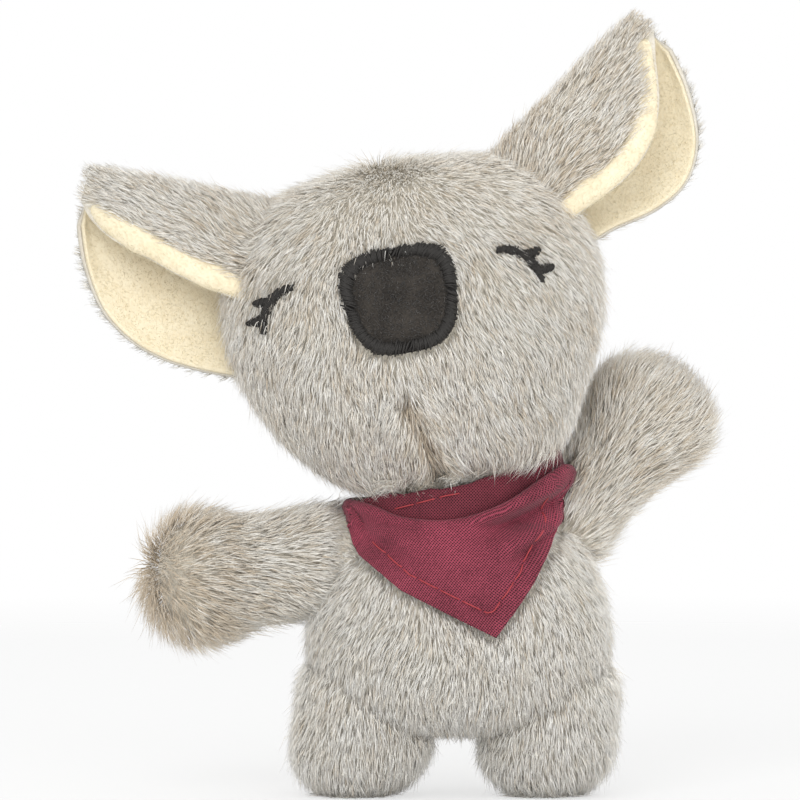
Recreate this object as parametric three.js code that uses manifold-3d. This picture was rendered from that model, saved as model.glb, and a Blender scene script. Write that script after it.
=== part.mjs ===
import * as THREE from "three";
import Module from "manifold-3d";

const wasm = await Module();
wasm.setup();

// A small sewn plush koala standing on its soles, in millimetres, +Z up and facing -Y.
// Left and right are the toy's own, so its left side lies toward +X.

// Fabric, seams and clearances
const coverWall = 1.2;
const seatGap = 0.3;
const seatSlack = 0.15;
const soleCut = 0.5;
const farLength = 80;

// Head, measured along its own axes
const headHalfWidth = 31.4;
const headHeight = 54;
const headFrontDepth = 24.5;
const headBackDepth = 22.5;
const headBelowShare = 0.53;
const headSectionPower = 2.25;
const headRollAngle = THREE.MathUtils.degToRad(10.5);
const neckRise = 2.5;
const headTurnReach = 1.6;

// Torso
const torsoHalfWidth = 24.9;
const torsoHalfDepth = 16.6;
const torsoBottom = 10.4;
const torsoHeight = 40.6;
const torsoSectionPower = 2.1;
const neckLevelShare = 0.95;
const neckSideShare = -0.065;
const neckBallRadius = 7.6;

// Arms, as capsules that swell toward the paw
const armLengths = { left: 33.2, right: 33.4 };
const armRadii = { left: 7.7, right: 9.1 };
const armDepthShare = 0.94;
const shoulderSideShares = { left: 0.7, right: -0.735 };
const shoulderLevelShares = { left: 0.835, right: 0.72 };
const shoulderBackShares = { left: 0.2, right: 0 };
const armAngles = { left: -51.5, right: 171.8 };
const armBackAngles = { left: 16, right: 0 };

// Legs, leaning a little and standing flat
const hipHeight = 17;
const hipSideShares = { left: 0.595, right: -0.592 };
const legRadii = { left: 11.6, right: 11.9 };
const legDepthShare = 0.95;
const legLeanShares = { left: -0.03, right: -0.15 };

// Ears, each a leaf folded along its inner edge
const earLengths = { left: 34, right: 29.9 };
const earWidths = { left: 24.4, right: 27.6 };
const earAngles = { left: 35.5, right: 22.5 };
const earSideShares = { left: 0.545, right: 0.655 };
const earLevelShares = { left: 0.923, right: 0.918 };
const earOuterWall = 1.5;
const earLiningWall = 1;
const earThinWidthShare = 0.5;
const earRollHalfWidth = 2.1;
const earRollHalfDepth = 1.5;
const earRollRise = 0.5;

// Face
const faceShiftShare = -0.055;
const noseHalfWidth = 9.4;
const noseHalfHeight = 9.3;
const noseLevelShare = 0.06;
const noseCornerPower = 3.1;
const noseTaperShare = 0.13;
const noseBorderWidth = 2.1;
const feltWall = 0.8;
const borderWall = 1.2;
const eyeSideShare = 0.555;
const eyeLevelShare = 0.042;
const eyeArcWidth = 6;
const eyeArcHeight = 6.4;
const eyeThread = 0.6;
const lashLength = 2.9;
const eyeLidAngles = [90, 72, 54, 36, 18, 2];

// Neckerchief, laid on the chest and round the neck
const clothWall = 1;
const clothHalfWidth = 17.9;
const clothDrop = 22.1;
const flapHingeShare = 0.36;

// Ranges of the joints that sweep through a neighbour, in degrees
const headTiltAngles = [-12, 8];
const headTurnAngles = [-20, 20];
const earFoldAngles = [-14, 14];
const armSwingAngles = { left: [0, 60], right: [-10, 18] };
const legSwingAngles = [-20, 20];
const flapLiftAngle = 60;

// Outlines as shares of height or length, half width and half depth
const headLevelShares = [0, 0.012, 0.045, 0.11, 0.2, 0.31, 0.43, 0.55, 0.66, 0.76, 0.85, 0.92, 0.965, 0.99, 1];
const headWidthShares = [0, 0.27, 0.485, 0.655, 0.785, 0.89, 0.965, 1, 0.99, 0.945, 0.865, 0.75, 0.59, 0.36, 0];
const headDepthShares = [0, 0.29, 0.52, 0.7, 0.83, 0.93, 0.99, 1, 0.965, 0.895, 0.785, 0.65, 0.48, 0.27, 0];
const torsoLevelShares = [0, 0.015, 0.06, 0.14, 0.24, 0.35, 0.49, 0.62, 0.74, 0.84, 0.92, 0.97, 1];
const torsoWidthShares = [0, 0.5, 0.76, 0.91, 0.98, 1, 0.985, 0.935, 0.855, 0.75, 0.6, 0.4, 0];
const armAlongShares = [0, 0.2, 0.4, 0.56, 0.7, 0.81, 0.9, 0.965, 1];
const armWidthShares = {
  left: [1, 0.95, 1, 1.16, 1.35, 1.37, 1.18, 0.78, 0],
  right: [1, 0.99, 0.98, 1.04, 1.17, 1.17, 0.99, 0.64, 0],
};
const legAlongShares = [0, 0.3, 0.55, 0.72, 0.85, 0.94, 0.985, 1];
const legWidthShares = [1, 1, 0.98, 0.91, 0.78, 0.62, 0.5, 0];
const rootAngles = [67.5, 45, 22.5];
const rootMouthShare = 0.62;
const dishReachShare = 0.7;
const earAlongShares = [-0.26, -0.05, 0.18, 0.4, 0.6, 0.78, 0.92, 1];
const earSpreadShares = {
  left: [0.74, 0.78, 0.85, 0.97, 0.99, 0.85, 0.57, 0.3],
  right: [0.96, 0.99, 1, 0.98, 0.91, 0.77, 0.54, 0.31],
};
const earNearShares = {
  left: [1.5, 1.48, 1.42, 1.34, 1.24, 1.08, 0.85, 0.8],
  right: [1.1, 1.08, 1, 0.93, 0.86, 0.88, 0.94, 1],
};
const earAcrossShares = [0.52, 0.37, 0.21, 0.075, -0.005, 0.01, 0.1, 0.28, 0.52, 0.78, 1];
const earDepthShares = [0.36, 0.352, 0.318, 0.25, 0.15, 0.06, -0.005, -0.042, -0.055, -0.022, 0.075];

// Counts of facets
const headAround = 24;
const limbAround = 16;
const earRollAround = 6;
const ballAround = 20;
const ballRows = 10;
const dishBands = 10;
const sampleRows = 40;
const sampleAround = 72;

// Places worked out from the sizes
const up = new THREE.Vector3(0, 0, 1);
const across = new THREE.Vector3(1, 0, 0);
const backward = new THREE.Vector3(0, 1, 0);
const neckPivot = new THREE.Vector3(
  torsoHalfWidth * neckSideShare,
  0,
  torsoBottom + torsoHeight * neckLevelShare,
);
const headBelow = headHeight * headBelowShare;
const headFrame = new THREE.Matrix4()
  .makeTranslation(neckPivot.x, neckPivot.y, neckPivot.z)
  .multiply(new THREE.Matrix4().makeRotationY(-headRollAngle))
  .multiply(new THREE.Matrix4().makeTranslation(0, 0, neckRise + headBelow));

function pointOf(x, y, z) {
  return new THREE.Vector3(x, y, z);
}

// A closed surface through rings of points, a ring of one point being a pole
function ringSurface(rings, looped = false) {
  const positions = [];
  const starts = [];
  for (const ring of rings) {
    starts.push(positions.length / 3);
    for (const point of ring) {
      positions.push(point.x, point.y, point.z);
    }
  }
  const triangles = [];
  const last = looped ? rings.length : rings.length - 1;
  for (let row = 0; row < last; row += 1) {
    const next = (row + 1) % rings.length;
    joinRings(triangles, starts[row], rings[row].length, starts[next], rings[next].length);
  }
  return surfaceOf(positions, triangles);
}

function joinRings(triangles, lower, lowerCount, upper, upperCount) {
  const count = Math.max(lowerCount, upperCount);
  for (let step = 0; step < count; step += 1) {
    const following = (step + 1) % count;
    const a = lower + (lowerCount > 1 ? step : 0);
    const b = lower + (lowerCount > 1 ? following : 0);
    const c = upper + (upperCount > 1 ? following : 0);
    const d = upper + (upperCount > 1 ? step : 0);
    if (a !== b) {
      triangles.push(a, b, c);
    }
    if (c !== d) {
      triangles.push(a, c, d);
    }
  }
}

// Position-only geometry with its faces turned outward
function surfaceOf(positions, triangles) {
  let volume = 0;
  const corner = [new THREE.Vector3(), new THREE.Vector3(), new THREE.Vector3()];
  for (let start = 0; start < triangles.length; start += 3) {
    corner.forEach((point, index) => point.fromArray(positions, triangles[start + index] * 3));
    volume += corner[0].dot(corner[1].clone().cross(corner[2]));
  }
  if (volume < 0) {
    triangles.reverse();
  }
  const geometry = new THREE.BufferGeometry();
  geometry.setAttribute("position", new THREE.Float32BufferAttribute(positions, 3));
  geometry.setIndex(triangles);
  return geometry;
}

// A sheet between two grids of points that share their rows and columns
function sheetSurface(front, back) {
  const rings = front.map((row, index) => [...row, ...back[index].slice().reverse()]);
  const positions = rings.flat().flatMap((point) => [point.x, point.y, point.z]);
  const width = rings[0].length;
  const half = width / 2;
  const triangles = [];
  for (let row = 0; row + 1 < rings.length; row += 1) {
    joinRings(triangles, row * width, width, (row + 1) * width, width);
  }
  for (const [row, flip] of [[0, true], [rings.length - 1, false]]) {
    for (let column = 0; column + 1 < half; column += 1) {
      const a = row * width + column;
      const b = a + 1;
      const c = row * width + width - 2 - column;
      const d = c + 1;
      triangles.push(...(flip ? [a, c, b, a, d, c] : [a, b, c, a, c, d]));
    }
  }
  return surfaceOf(positions, triangles);
}

function solidOf(geometry, matrix = new THREE.Matrix4()) {
  const placed = geometry.clone().applyMatrix4(matrix);
  return new wasm.Manifold(
    new wasm.Mesh({
      numProp: 3,
      vertProperties: new Float32Array(placed.getAttribute("position").array),
      triVerts: new Uint32Array(placed.getIndex().array),
    }),
  );
}

function meshOf(name, solid, colour, roughness, frame = new THREE.Matrix4()) {
  const result = solid.getMesh();
  const geometry = new THREE.BufferGeometry();
  geometry.setAttribute("position", new THREE.BufferAttribute(result.vertProperties, result.numProp));
  geometry.setIndex(new THREE.BufferAttribute(result.triVerts, 1));
  geometry.applyMatrix4(frame.clone().invert());
  geometry.computeVertexNormals();
  const material = new THREE.MeshStandardMaterial({ color: colour, roughness, metalness: 0 });
  const mesh = new THREE.Mesh(geometry, material);
  mesh.name = name;
  mesh.applyMatrix4(frame);
  return mesh;
}

// A rounded section, squarer as its power grows
function sectionPoint(angle, halfWidth, halfDepth, power) {
  const cosine = Math.cos(angle);
  const sine = Math.sin(angle);
  return [
    halfWidth * Math.sign(cosine) * Math.abs(cosine) ** (2 / power),
    halfDepth * Math.sign(sine) * Math.abs(sine) ** (2 / power),
  ];
}

function levelledForm(levels, sections, count, power) {
  const rings = levels.map((level, row) => {
    const [halfWidth, frontDepth, backDepth] = sections[row];
    if (halfWidth <= 0) {
      return [pointOf(0, 0, level)];
    }
    return Array.from({ length: count }, (_, step) => {
      const angle = (step / count) * Math.PI * 2;
      const depth = Math.sin(angle) < 0 ? frontDepth : backDepth;
      const [x, y] = sectionPoint(angle, halfWidth, depth, power);
      return pointOf(x, y, level);
    });
  });
  return ringSurface(rings);
}

// Rows and sides kept by a form of one facet for every so many of the cover's
function thinned(list, keepEvery) {
  return list.filter((_, index) => index % keepEvery === 0);
}

// Head form about its own centre, grown outward or shrunk inward
function headForm(growth, keepEvery = 1) {
  const span = headHeight + growth * 2;
  const levels = headLevelShares.map((share) => share * span - headBelow - growth);
  const sections = headLevelShares.map((_, row) => [
    headWidthShares[row] && headWidthShares[row] * headHalfWidth + growth,
    headDepthShares[row] && headDepthShares[row] * headFrontDepth + growth,
    headDepthShares[row] && headDepthShares[row] * headBackDepth + growth,
  ]);
  const count = headAround / keepEvery;
  return levelledForm(thinned(levels, keepEvery), thinned(sections, keepEvery), count, headSectionPower);
}

function torsoForm(growth, keepEvery = 1) {
  const span = torsoHeight + growth * 2;
  const levels = torsoLevelShares.map((share) => torsoBottom - growth + share * span);
  const sections = torsoWidthShares.map((share) => [
    share && share * torsoHalfWidth + growth,
    share && share * torsoHalfDepth + growth,
    share && share * torsoHalfDepth + growth,
  ]);
  const count = headAround / keepEvery;
  return levelledForm(thinned(levels, keepEvery), thinned(sections, keepEvery), count, torsoSectionPower);
}

// A limb along its own +X from the pivot, rooted in a ball
function limbForm(sizes, shrink, count = limbAround) {
  const { length, radius, alongShares, widthShares } = sizes;
  const rings = [[pointOf(-radius, 0, 0)]];
  for (const degrees of rootAngles) {
    const angle = THREE.MathUtils.degToRad(degrees);
    rings.push(limbRing(sizes, -radius * Math.sin(angle), radius * Math.cos(angle), 1, count));
  }
  alongShares.forEach((share, row) => {
    const along = share * (length - shrink);
    rings.push(limbRing(sizes, along, widthShares[row] * radius, share * 2, count, shrink));
  });
  return ringSurface(rings);
}

function limbRing({ depthShare, lean }, along, width, flattening, count, shrink = 0) {
  const aside = lean * Math.max(along, 0);
  if (width === 0) {
    return [pointOf(along, 0, aside)];
  }
  const flatness = along > 0 ? THREE.MathUtils.lerp(1, depthShare, Math.min(1, flattening)) : 1;
  const halfWidth = Math.max(width - shrink, seatGap);
  const halfDepth = Math.max(width * flatness - shrink, seatGap);
  return Array.from({ length: count }, (_, step) => {
    const angle = (step / count) * Math.PI * 2;
    return pointOf(along, halfDepth * Math.sin(angle), aside + halfWidth * Math.cos(angle));
  });
}

// The space inside a limb's cover, which leaves it through a round mouth in the ball
function limbHollow(sizes, shrink) {
  const count = limbAround / 2;
  const { length, radius, alongShares, widthShares } = sizes;
  const inner = radius - shrink;
  const mouth = inner * rootMouthShare;
  const rings = [[pointOf(-radius * 2, 0, 0)], limbRing(sizes, -radius * 2, mouth, 1, count)];
  for (const share of [1, 0.7, 0.35]) {
    const back = Math.sqrt(inner ** 2 - mouth ** 2) * share;
    rings.push(limbRing(sizes, -back, Math.sqrt(inner ** 2 - back ** 2), 1, count));
  }
  alongShares.forEach((share, row) => {
    const along = share * (length - shrink);
    rings.push(limbRing(sizes, along, widthShares[row] * radius, share * 2, count, shrink));
  });
  return ringSurface(rings);
}

// A faceted ball has its corners on the radius, and the space that clears one has its faces outside it
const ballFacetShare = Math.cos(Math.PI / ballAround) * Math.cos(Math.PI / (ballRows * 2));

function clearRadius(radius) {
  return (radius + seatGap) / ballFacetShare;
}

// The space swept by a ball at the root and at the listed reaches
function sweptForm(centre, radius, reaches) {
  const stops = [new THREE.Vector3(), ...reaches];
  const pointFor = (normal) => {
    const stop = stops.reduce((best, next) => (next.dot(normal) > best.dot(normal) + seatSlack ? next : best));
    return centre.clone().add(stop).addScaledVector(normal, radius);
  };
  const rings = [];
  for (let row = 0; row <= ballRows; row += 1) {
    const polar = (row / ballRows) * Math.PI;
    const count = row === 0 || row === ballRows ? 1 : ballAround;
    rings.push(
      Array.from({ length: count }, (_, step) => {
        const angle = (step / ballAround) * Math.PI * 2;
        return pointFor(
          pointOf(Math.sin(polar) * Math.cos(angle), Math.sin(polar) * Math.sin(angle), Math.cos(polar)),
        );
      }),
    );
  }
  return ringSurface(rings);
}

function swingAbout(point, axis, degrees) {
  return new THREE.Matrix4()
    .makeTranslation(point.x, point.y, point.z)
    .multiply(new THREE.Matrix4().makeRotationAxis(axis, THREE.MathUtils.degToRad(degrees)))
    .multiply(new THREE.Matrix4().makeTranslation(-point.x, -point.y, -point.z));
}

function stepsBetween([low, high], count) {
  return Array.from({ length: count }, (_, step) => THREE.MathUtils.lerp(low, high, step / (count - 1)));
}

// Half width and depths of the head at a share of its height
function headRadii(share) {
  const row = Math.max(1, headLevelShares.findIndex((entry) => entry >= share));
  const part = (share - headLevelShares[row - 1]) / (headLevelShares[row] - headLevelShares[row - 1]);
  const width = THREE.MathUtils.lerp(headWidthShares[row - 1], headWidthShares[row], part);
  const depth = THREE.MathUtils.lerp(headDepthShares[row - 1], headDepthShares[row], part);
  return [width * headHalfWidth, depth * headFrontDepth, depth * headBackDepth];
}

// Lowest reach of the moving head round the neck, in bands outward and sectors round it
function headDish() {
  const reach = headHalfWidth * dishReachShare;
  const lows = Array.from({ length: dishBands + 1 }, () => new Array(headAround).fill(Infinity));
  const swings = stepsBetween(headTurnAngles, 5).flatMap((turn) =>
    [...stepsBetween(headTiltAngles, 5), 0].map((tilt) =>
      swingAbout(neckPivot, up, turn)
        .multiply(swingAbout(neckPivot, backward, tilt))
        .multiply(headFrame),
    ),
  );
  for (let row = 1; row <= sampleRows; row += 1) {
    const share = 0.5 * (row / sampleRows) ** 2;
    const [halfWidth, frontDepth, backDepth] = headRadii(share);
    for (let step = 0; step < sampleAround; step += 1) {
      const angle = (step / sampleAround) * Math.PI * 2;
      const depth = Math.sin(angle) < 0 ? frontDepth : backDepth;
      const [x, y] = sectionPoint(angle, halfWidth, depth, headSectionPower);
      const spot = pointOf(x, y, share * headHeight - headBelow);
      swings.forEach((swing) => lowerDish(lows, spot.clone().applyMatrix4(swing).sub(neckPivot), reach));
    }
  }
  return lows.map((band, slot) => ({ radius: (slot / dishBands) * reach, band }));
}

function lowerDish(lows, place, reach) {
  const outward = (Math.hypot(place.x, place.y) / reach) * dishBands;
  const round = ((Math.atan2(place.y, place.x) / (Math.PI * 2) + 1) % 1) * headAround;
  for (const slot of [Math.floor(outward), Math.ceil(outward)]) {
    if (slot <= dishBands) {
      for (const sector of [Math.floor(round), Math.ceil(round) % headAround]) {
        lows[slot][sector] = Math.min(lows[slot][sector], place.z);
      }
    }
  }
}

const dishOutline = headDish();

function dishForm(drop) {
  const spotAt = (radius, sector, level) => {
    const angle = (sector / headAround) * Math.PI * 2;
    return pointOf(radius * Math.cos(angle), radius * Math.sin(angle), level).add(neckPivot);
  };
  const rings = dishOutline.slice(1).map(({ radius, band }) =>
    band.map((low, sector) => spotAt(radius, sector, low - drop)),
  );
  const outer = dishOutline[dishBands].radius;
  rings.unshift([spotAt(0, 0, Math.min(...dishOutline[0].band) - drop)]);
  rings.push(Array.from({ length: headAround }, (_, sector) => spotAt(outer, sector, farLength)));
  rings.push([spotAt(0, 0, farLength)]);
  return ringSurface(rings);
}

// A prism along Y between two depths, its outline in front view as shares of the cloth
function clothPrism(outlineShares, nearDepth, farDepth) {
  const ringAt = (depth) =>
    outlineShares.map(([side, drop]) => pointOf(side * clothHalfWidth, depth, neckPivot.z - drop * clothDrop));
  const middle = (depth) => {
    const ring = ringAt(depth);
    const sum = ring.reduce((total, point) => total.add(point), new THREE.Vector3());
    return sum.divideScalar(ring.length);
  };
  return ringSurface([[middle(nearDepth)], ringAt(nearDepth), ringAt(farDepth), [middle(farDepth)]]);
}

// The point on the head's front at a place in front view, and the way out of the fabric there
function headSkin(side, level) {
  const frontAt = (x, z) => {
    const [halfWidth, frontDepth] = headRadii((z + headBelow) / headHeight);
    const ratio = Math.min(0.999, Math.abs(x) / halfWidth);
    return -frontDepth * (1 - ratio ** headSectionPower) ** (1 / headSectionPower);
  };
  const step = headHalfWidth / 30;
  const slopeX = (frontAt(side + step, level) - frontAt(side - step, level)) / (step * 2);
  const slopeZ = (frontAt(side, level + step) - frontAt(side, level - step)) / (step * 2);
  const point = pointOf(side, frontAt(side, level), level);
  const normal = pointOf(slopeX, -1, slopeZ).normalize();
  return { point, normal };
}

function liftedPoint(side, level, lift) {
  const { point, normal } = headSkin(side, level);
  return point.addScaledVector(normal, lift);
}

// The rounded outline of the nose, narrower toward the chin
function nosePoint(angle, inset, lift) {
  const [x, z] = sectionPoint(angle, noseHalfWidth - inset, noseHalfHeight - inset, noseCornerPower);
  const level = noseLevelShare * headHeight + z;
  const side = faceShiftShare * headHalfWidth + x * (1 + (noseTaperShare * z) / noseHalfHeight);
  return liftedPoint(side, level, lift);
}

function noseRing(inset, lift) {
  const angleAt = (step) => (step / headAround) * Math.PI * 2;
  return Array.from({ length: headAround }, (_, step) => nosePoint(angleAt(step), inset, lift));
}

function noseSurface() {
  const inset = noseBorderWidth + seatGap;
  const shares = [0.35, 0.7, 1];
  const insetAt = (share) => noseHalfWidth - (noseHalfWidth - inset) * share;
  const centre = (lift) => [
    liftedPoint(faceShiftShare * headHalfWidth, noseLevelShare * headHeight, lift),
  ];
  return ringSurface([
    centre(seatGap),
    ...shares.map((share) => noseRing(insetAt(share), seatGap)),
    ...shares.slice().reverse().map((share) => noseRing(insetAt(share), seatGap + feltWall)),
    centre(seatGap + feltWall),
  ]);
}

function noseBorderSurface() {
  const rim = noseBorderWidth * 0.25;
  return ringSurface(
    [
      noseRing(0, seatGap),
      noseRing(0, seatGap + borderWall / 2),
      noseRing(rim, seatGap + borderWall),
      noseRing(noseBorderWidth - rim, seatGap + borderWall),
      noseRing(noseBorderWidth, seatGap + borderWall / 2),
      noseRing(noseBorderWidth, seatGap),
    ],
    true,
  );
}

// A satin-stitched line laid on the face along places in front view
function stitchLine(places) {
  const rings = places.map(([side, level], index) => {
    const before = places[Math.max(0, index - 1)];
    const after = places[Math.min(places.length - 1, index + 1)];
    const run = pointOf(after[0] - before[0], 0, after[1] - before[1]).normalize();
    const { point, normal } = headSkin(side, level);
    const sideways = run.clone().cross(normal).normalize();
    const taper = index === 0 || index === places.length - 1 ? 0.55 : 1;
    return Array.from({ length: 6 }, (_, step) => {
      const angle = (step / 6) * Math.PI * 2;
      return point
        .clone()
        .addScaledVector(normal, seatGap + eyeThread + eyeThread * Math.sin(angle) * taper)
        .addScaledVector(sideways, eyeThread * 1.1 * Math.cos(angle) * taper);
    });
  });
  const middle = (ring) => [
    ring.reduce((total, point) => total.add(point), new THREE.Vector3()).divideScalar(ring.length),
  ];
  return ringSurface([middle(rings[0]), ...rings, middle(rings[rings.length - 1])]);
}

function eyeSolid(hand) {
  const centreSide = faceShiftShare * headHalfWidth + hand * eyeSideShare * headHalfWidth;
  const centreLevel = eyeLevelShare * headHeight;
  const arcPlace = (degrees) => {
    const angle = THREE.MathUtils.degToRad(degrees);
    return [
      centreSide + hand * eyeArcWidth * Math.cos(angle),
      centreLevel + eyeArcHeight * Math.sin(angle),
    ];
  };
  const lash = (degrees, rise) => {
    const [side, level] = arcPlace(degrees);
    return [-0.1, 0.35, 0.7, 1].map((share) => [
      side + hand * lashLength * share,
      level + rise * lashLength * share,
    ]);
  };
  const sewn = (line) => solidOf(stitchLine(line), headFrame);
  const lid = sewn(eyeLidAngles.map(arcPlace));
  return [lash(48, 0.08), lash(20, -0.05)].reduce((total, line) => total.add(sewn(line)), lid);
}

// The ear's own frame: X along the fold, Y across the leaf, Z out of the leaf, backward on the left side
function earFrame(name, hand) {
  const rise = THREE.MathUtils.degToRad(earAngles[name]);
  const along = pointOf(hand * Math.cos(rise), 0, Math.sin(rise));
  const leaf = pointOf(hand * Math.sin(rise), 0, -Math.cos(rise));
  const origin = pointOf(
    hand * earSideShares[name] * headHalfWidth,
    0,
    earLevelShares[name] * headHeight - headBelow,
  );
  const frame = new THREE.Matrix4().makeBasis(along, leaf, along.clone().cross(leaf)).setPosition(origin);
  return headFrame.clone().multiply(frame);
}

// A place on the leaf at a row along the fold and a column across it, with the way out of its furred side
function earSpot(name, row, column) {
  const width = earSpreadShares[name][row] * earWidths[name];
  const acrossAt = (index) => {
    const reach = index < 4 ? earNearShares[name][row] : 1;
    return [earAcrossShares[index] * reach * width, earDepthShares[index] * width];
  };
  const [beforeY, beforeZ] = acrossAt(Math.max(0, column - 1));
  const [afterY, afterZ] = acrossAt(Math.min(earAcrossShares.length - 1, column + 1));
  const size = Math.hypot(afterY - beforeY, afterZ - beforeZ);
  return { place: acrossAt(column), normal: [(afterZ - beforeZ) / size, (beforeY - afterY) / size] };
}

function earThinness(name, row) {
  return Math.min(1, earSpreadShares[name][row] / earThinWidthShare);
}

function earLayer(name, hand, nearOffset, farOffset) {
  const gridAt = (offset) =>
    earAlongShares.map((along, row) => {
      const thin = earThinness(name, row);
      const least = Math.sign(offset) * seatGap * 0.5;
      const shift = least + (offset - least) * thin;
      return earAcrossShares.map((_, column) => {
        const { place, normal } = earSpot(name, row, column);
        const inset = column === 0 ? earRollHalfWidth * thin : 0;
        return pointOf(
          along * earLengths[name],
          place[0] - inset + normal[0] * shift,
          -hand * (place[1] + normal[1] * shift),
        );
      });
    });
  return sheetSurface(gridAt(nearOffset), gridAt(farOffset));
}

// The lining's turned edge: a soft roll along the near edge of the leaf
function earRoll(name, hand, growth) {
  const rings = earAlongShares.map((along, row) => {
    const thin = earThinness(name, row);
    const { place, normal } = earSpot(name, row, 0);
    const middle = [place[0] - earRollHalfWidth * thin, place[1] + normal[1] * earRollRise * thin];
    const reachAlong = growth * (row === 0 ? -1 : row === earAlongShares.length - 1 ? 1 : 0);
    return Array.from({ length: earRollAround }, (_, step) => {
      const angle = (step / earRollAround) * Math.PI * 2;
      const wide = (earRollHalfWidth * thin + growth) * Math.cos(angle);
      const deep = (earRollHalfDepth * thin + growth) * Math.sin(angle);
      return pointOf(along * earLengths[name] + reachAlong, middle[0] + wide, -hand * (middle[1] + deep));
    });
  });
  const middleOf = (ring) => [
    ring.reduce((total, point) => total.add(point), new THREE.Vector3()).divideScalar(ring.length),
  ];
  return ringSurface([middleOf(rings[0]), ...rings, middleOf(rings[rings.length - 1])]);
}

// Solids of the torso, the neck and the head
const torsoSocket = clothWall + seatGap * 2;
const neckBall = solidOf(sweptForm(neckPivot, neckBallRadius, []));
const neckSocket = solidOf(sweptForm(neckPivot, clearRadius(neckBallRadius), []));
const headHollow = solidOf(headForm(-coverWall, 2), headFrame);
const headBody = solidOf(headForm(0), headFrame).subtract(headHollow);
const headCover = headBody.subtract(neckSocket);
const headFilling = solidOf(headForm(-coverWall - seatGap, 2), headFrame).subtract(neckSocket);

function shoulderOf(name) {
  return pointOf(
    shoulderSideShares[name] * torsoHalfWidth,
    shoulderBackShares[name] * torsoHalfDepth,
    torsoBottom + shoulderLevelShares[name] * torsoHeight,
  );
}

function armFrame(name) {
  const pivot = shoulderOf(name);
  return new THREE.Matrix4()
    .makeTranslation(pivot.x, pivot.y, pivot.z)
    .multiply(new THREE.Matrix4().makeRotationY(THREE.MathUtils.degToRad(armAngles[name])))
    .multiply(new THREE.Matrix4().makeRotationZ(THREE.MathUtils.degToRad(armBackAngles[name])));
}

function armSweep(name) {
  const pivot = shoulderOf(name);
  const outward = across.clone().transformDirection(armFrame(name));
  const reaches = stepsBetween(armSwingAngles[name], 5).map((swing) =>
    outward
      .clone()
      .applyAxisAngle(backward, THREE.MathUtils.degToRad(swing))
      .multiplyScalar(armLengths[name] * 0.7),
  );
  return solidOf(sweptForm(pivot, clearRadius(armRadii[name]), reaches));
}

function hipOf(name) {
  return pointOf(hipSideShares[name] * torsoHalfWidth, 0, hipHeight);
}

// The leg's frame: X down from the hip, Z across, so that its sections stay level where it leans
function legFrame(name) {
  return new THREE.Matrix4()
    .makeBasis(up.clone().negate(), backward, across)
    .setPosition(hipOf(name));
}

function legSweep(name) {
  const pivot = hipOf(name);
  const down = pointOf(legLeanShares[name], 0, -1).multiplyScalar(hipHeight);
  const reaches = stepsBetween(legSwingAngles, 5).map((swing) =>
    down.clone().applyAxisAngle(across, THREE.MathUtils.degToRad(swing)),
  );
  return solidOf(sweptForm(pivot, clearRadius(legRadii[name]) + seatSlack, reaches));
}

const limbNames = ["left", "right"];
const limbSweeps = limbNames.flatMap((name) => [armSweep(name), legSweep(name)]);

function clearOfLimbs(solid) {
  return limbSweeps.reduce((rest, sweep) => rest.subtract(sweep), solid);
}

const loweredDish = solidOf(dishForm(torsoSocket));
const torsoShell = solidOf(torsoForm(0)).subtract(solidOf(torsoForm(-coverWall, 2)));
const torsoCover = clearOfLimbs(torsoShell.subtract(loweredDish).subtract(neckSocket));
const torsoFilling = clearOfLimbs(
  solidOf(torsoForm(-coverWall - seatGap, 2))
    .subtract(loweredDish)
    .subtract(neckSocket),
);

// Arms, drawn in where the head passes them as it tilts, turns and they swing
function headSweepFrom(solid, name) {
  const pivot = shoulderOf(name);
  const grown = headForm(seatGap + headTurnReach, 2);
  const swings = name === "left" ? [0] : [...armSwingAngles[name], 0];
  return swings.reduce(
    (rest, swing) =>
      headTiltAngles.reduce((remains, tilt) => {
        const path = swingAbout(pivot, backward, -swing).multiply(swingAbout(neckPivot, backward, tilt));
        return remains.subtract(solidOf(grown, path.multiply(headFrame)));
      }, rest),
    solid,
  );
}

// A cover and its filling, both cut by what stands against the limb
function limbPieces(sizes, frame, clear) {
  const hollowAt = (shrink) => solidOf(limbHollow(sizes, shrink), frame);
  const cover = solidOf(limbForm(sizes, 0), frame).subtract(hollowAt(coverWall));
  const filling = solidOf(limbForm(sizes, 0), frame).intersect(hollowAt(coverWall + seatGap));
  return [clear(cover), clear(filling)];
}

function armPieces(name) {
  const sizes = {
    length: armLengths[name],
    radius: armRadii[name],
    depthShare: armDepthShare,
    alongShares: armAlongShares,
    widthShares: armWidthShares[name],
    lean: 0,
  };
  return limbPieces(sizes, armFrame(name), (solid) => headSweepFrom(solid, name));
}

function floorSlab() {
  const corner = farLength;
  const ringAt = (level) => [
    pointOf(-corner, -corner, level),
    pointOf(corner, -corner, level),
    pointOf(corner, corner, level),
    pointOf(-corner, corner, level),
  ];
  return solidOf(ringSurface([[pointOf(0, 0, -corner)], ringAt(-corner), ringAt(0), [pointOf(0, 0, 0)]]));
}

function legPieces(name) {
  const sizes = {
    length: hipHeight + soleCut,
    radius: legRadii[name],
    depthShare: legDepthShare,
    alongShares: legAlongShares,
    widthShares: legWidthShares,
    lean: legLeanShares[name],
  };
  const floor = floorSlab();
  return limbPieces(sizes, legFrame(name), (solid) => solid.subtract(floor));
}

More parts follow.
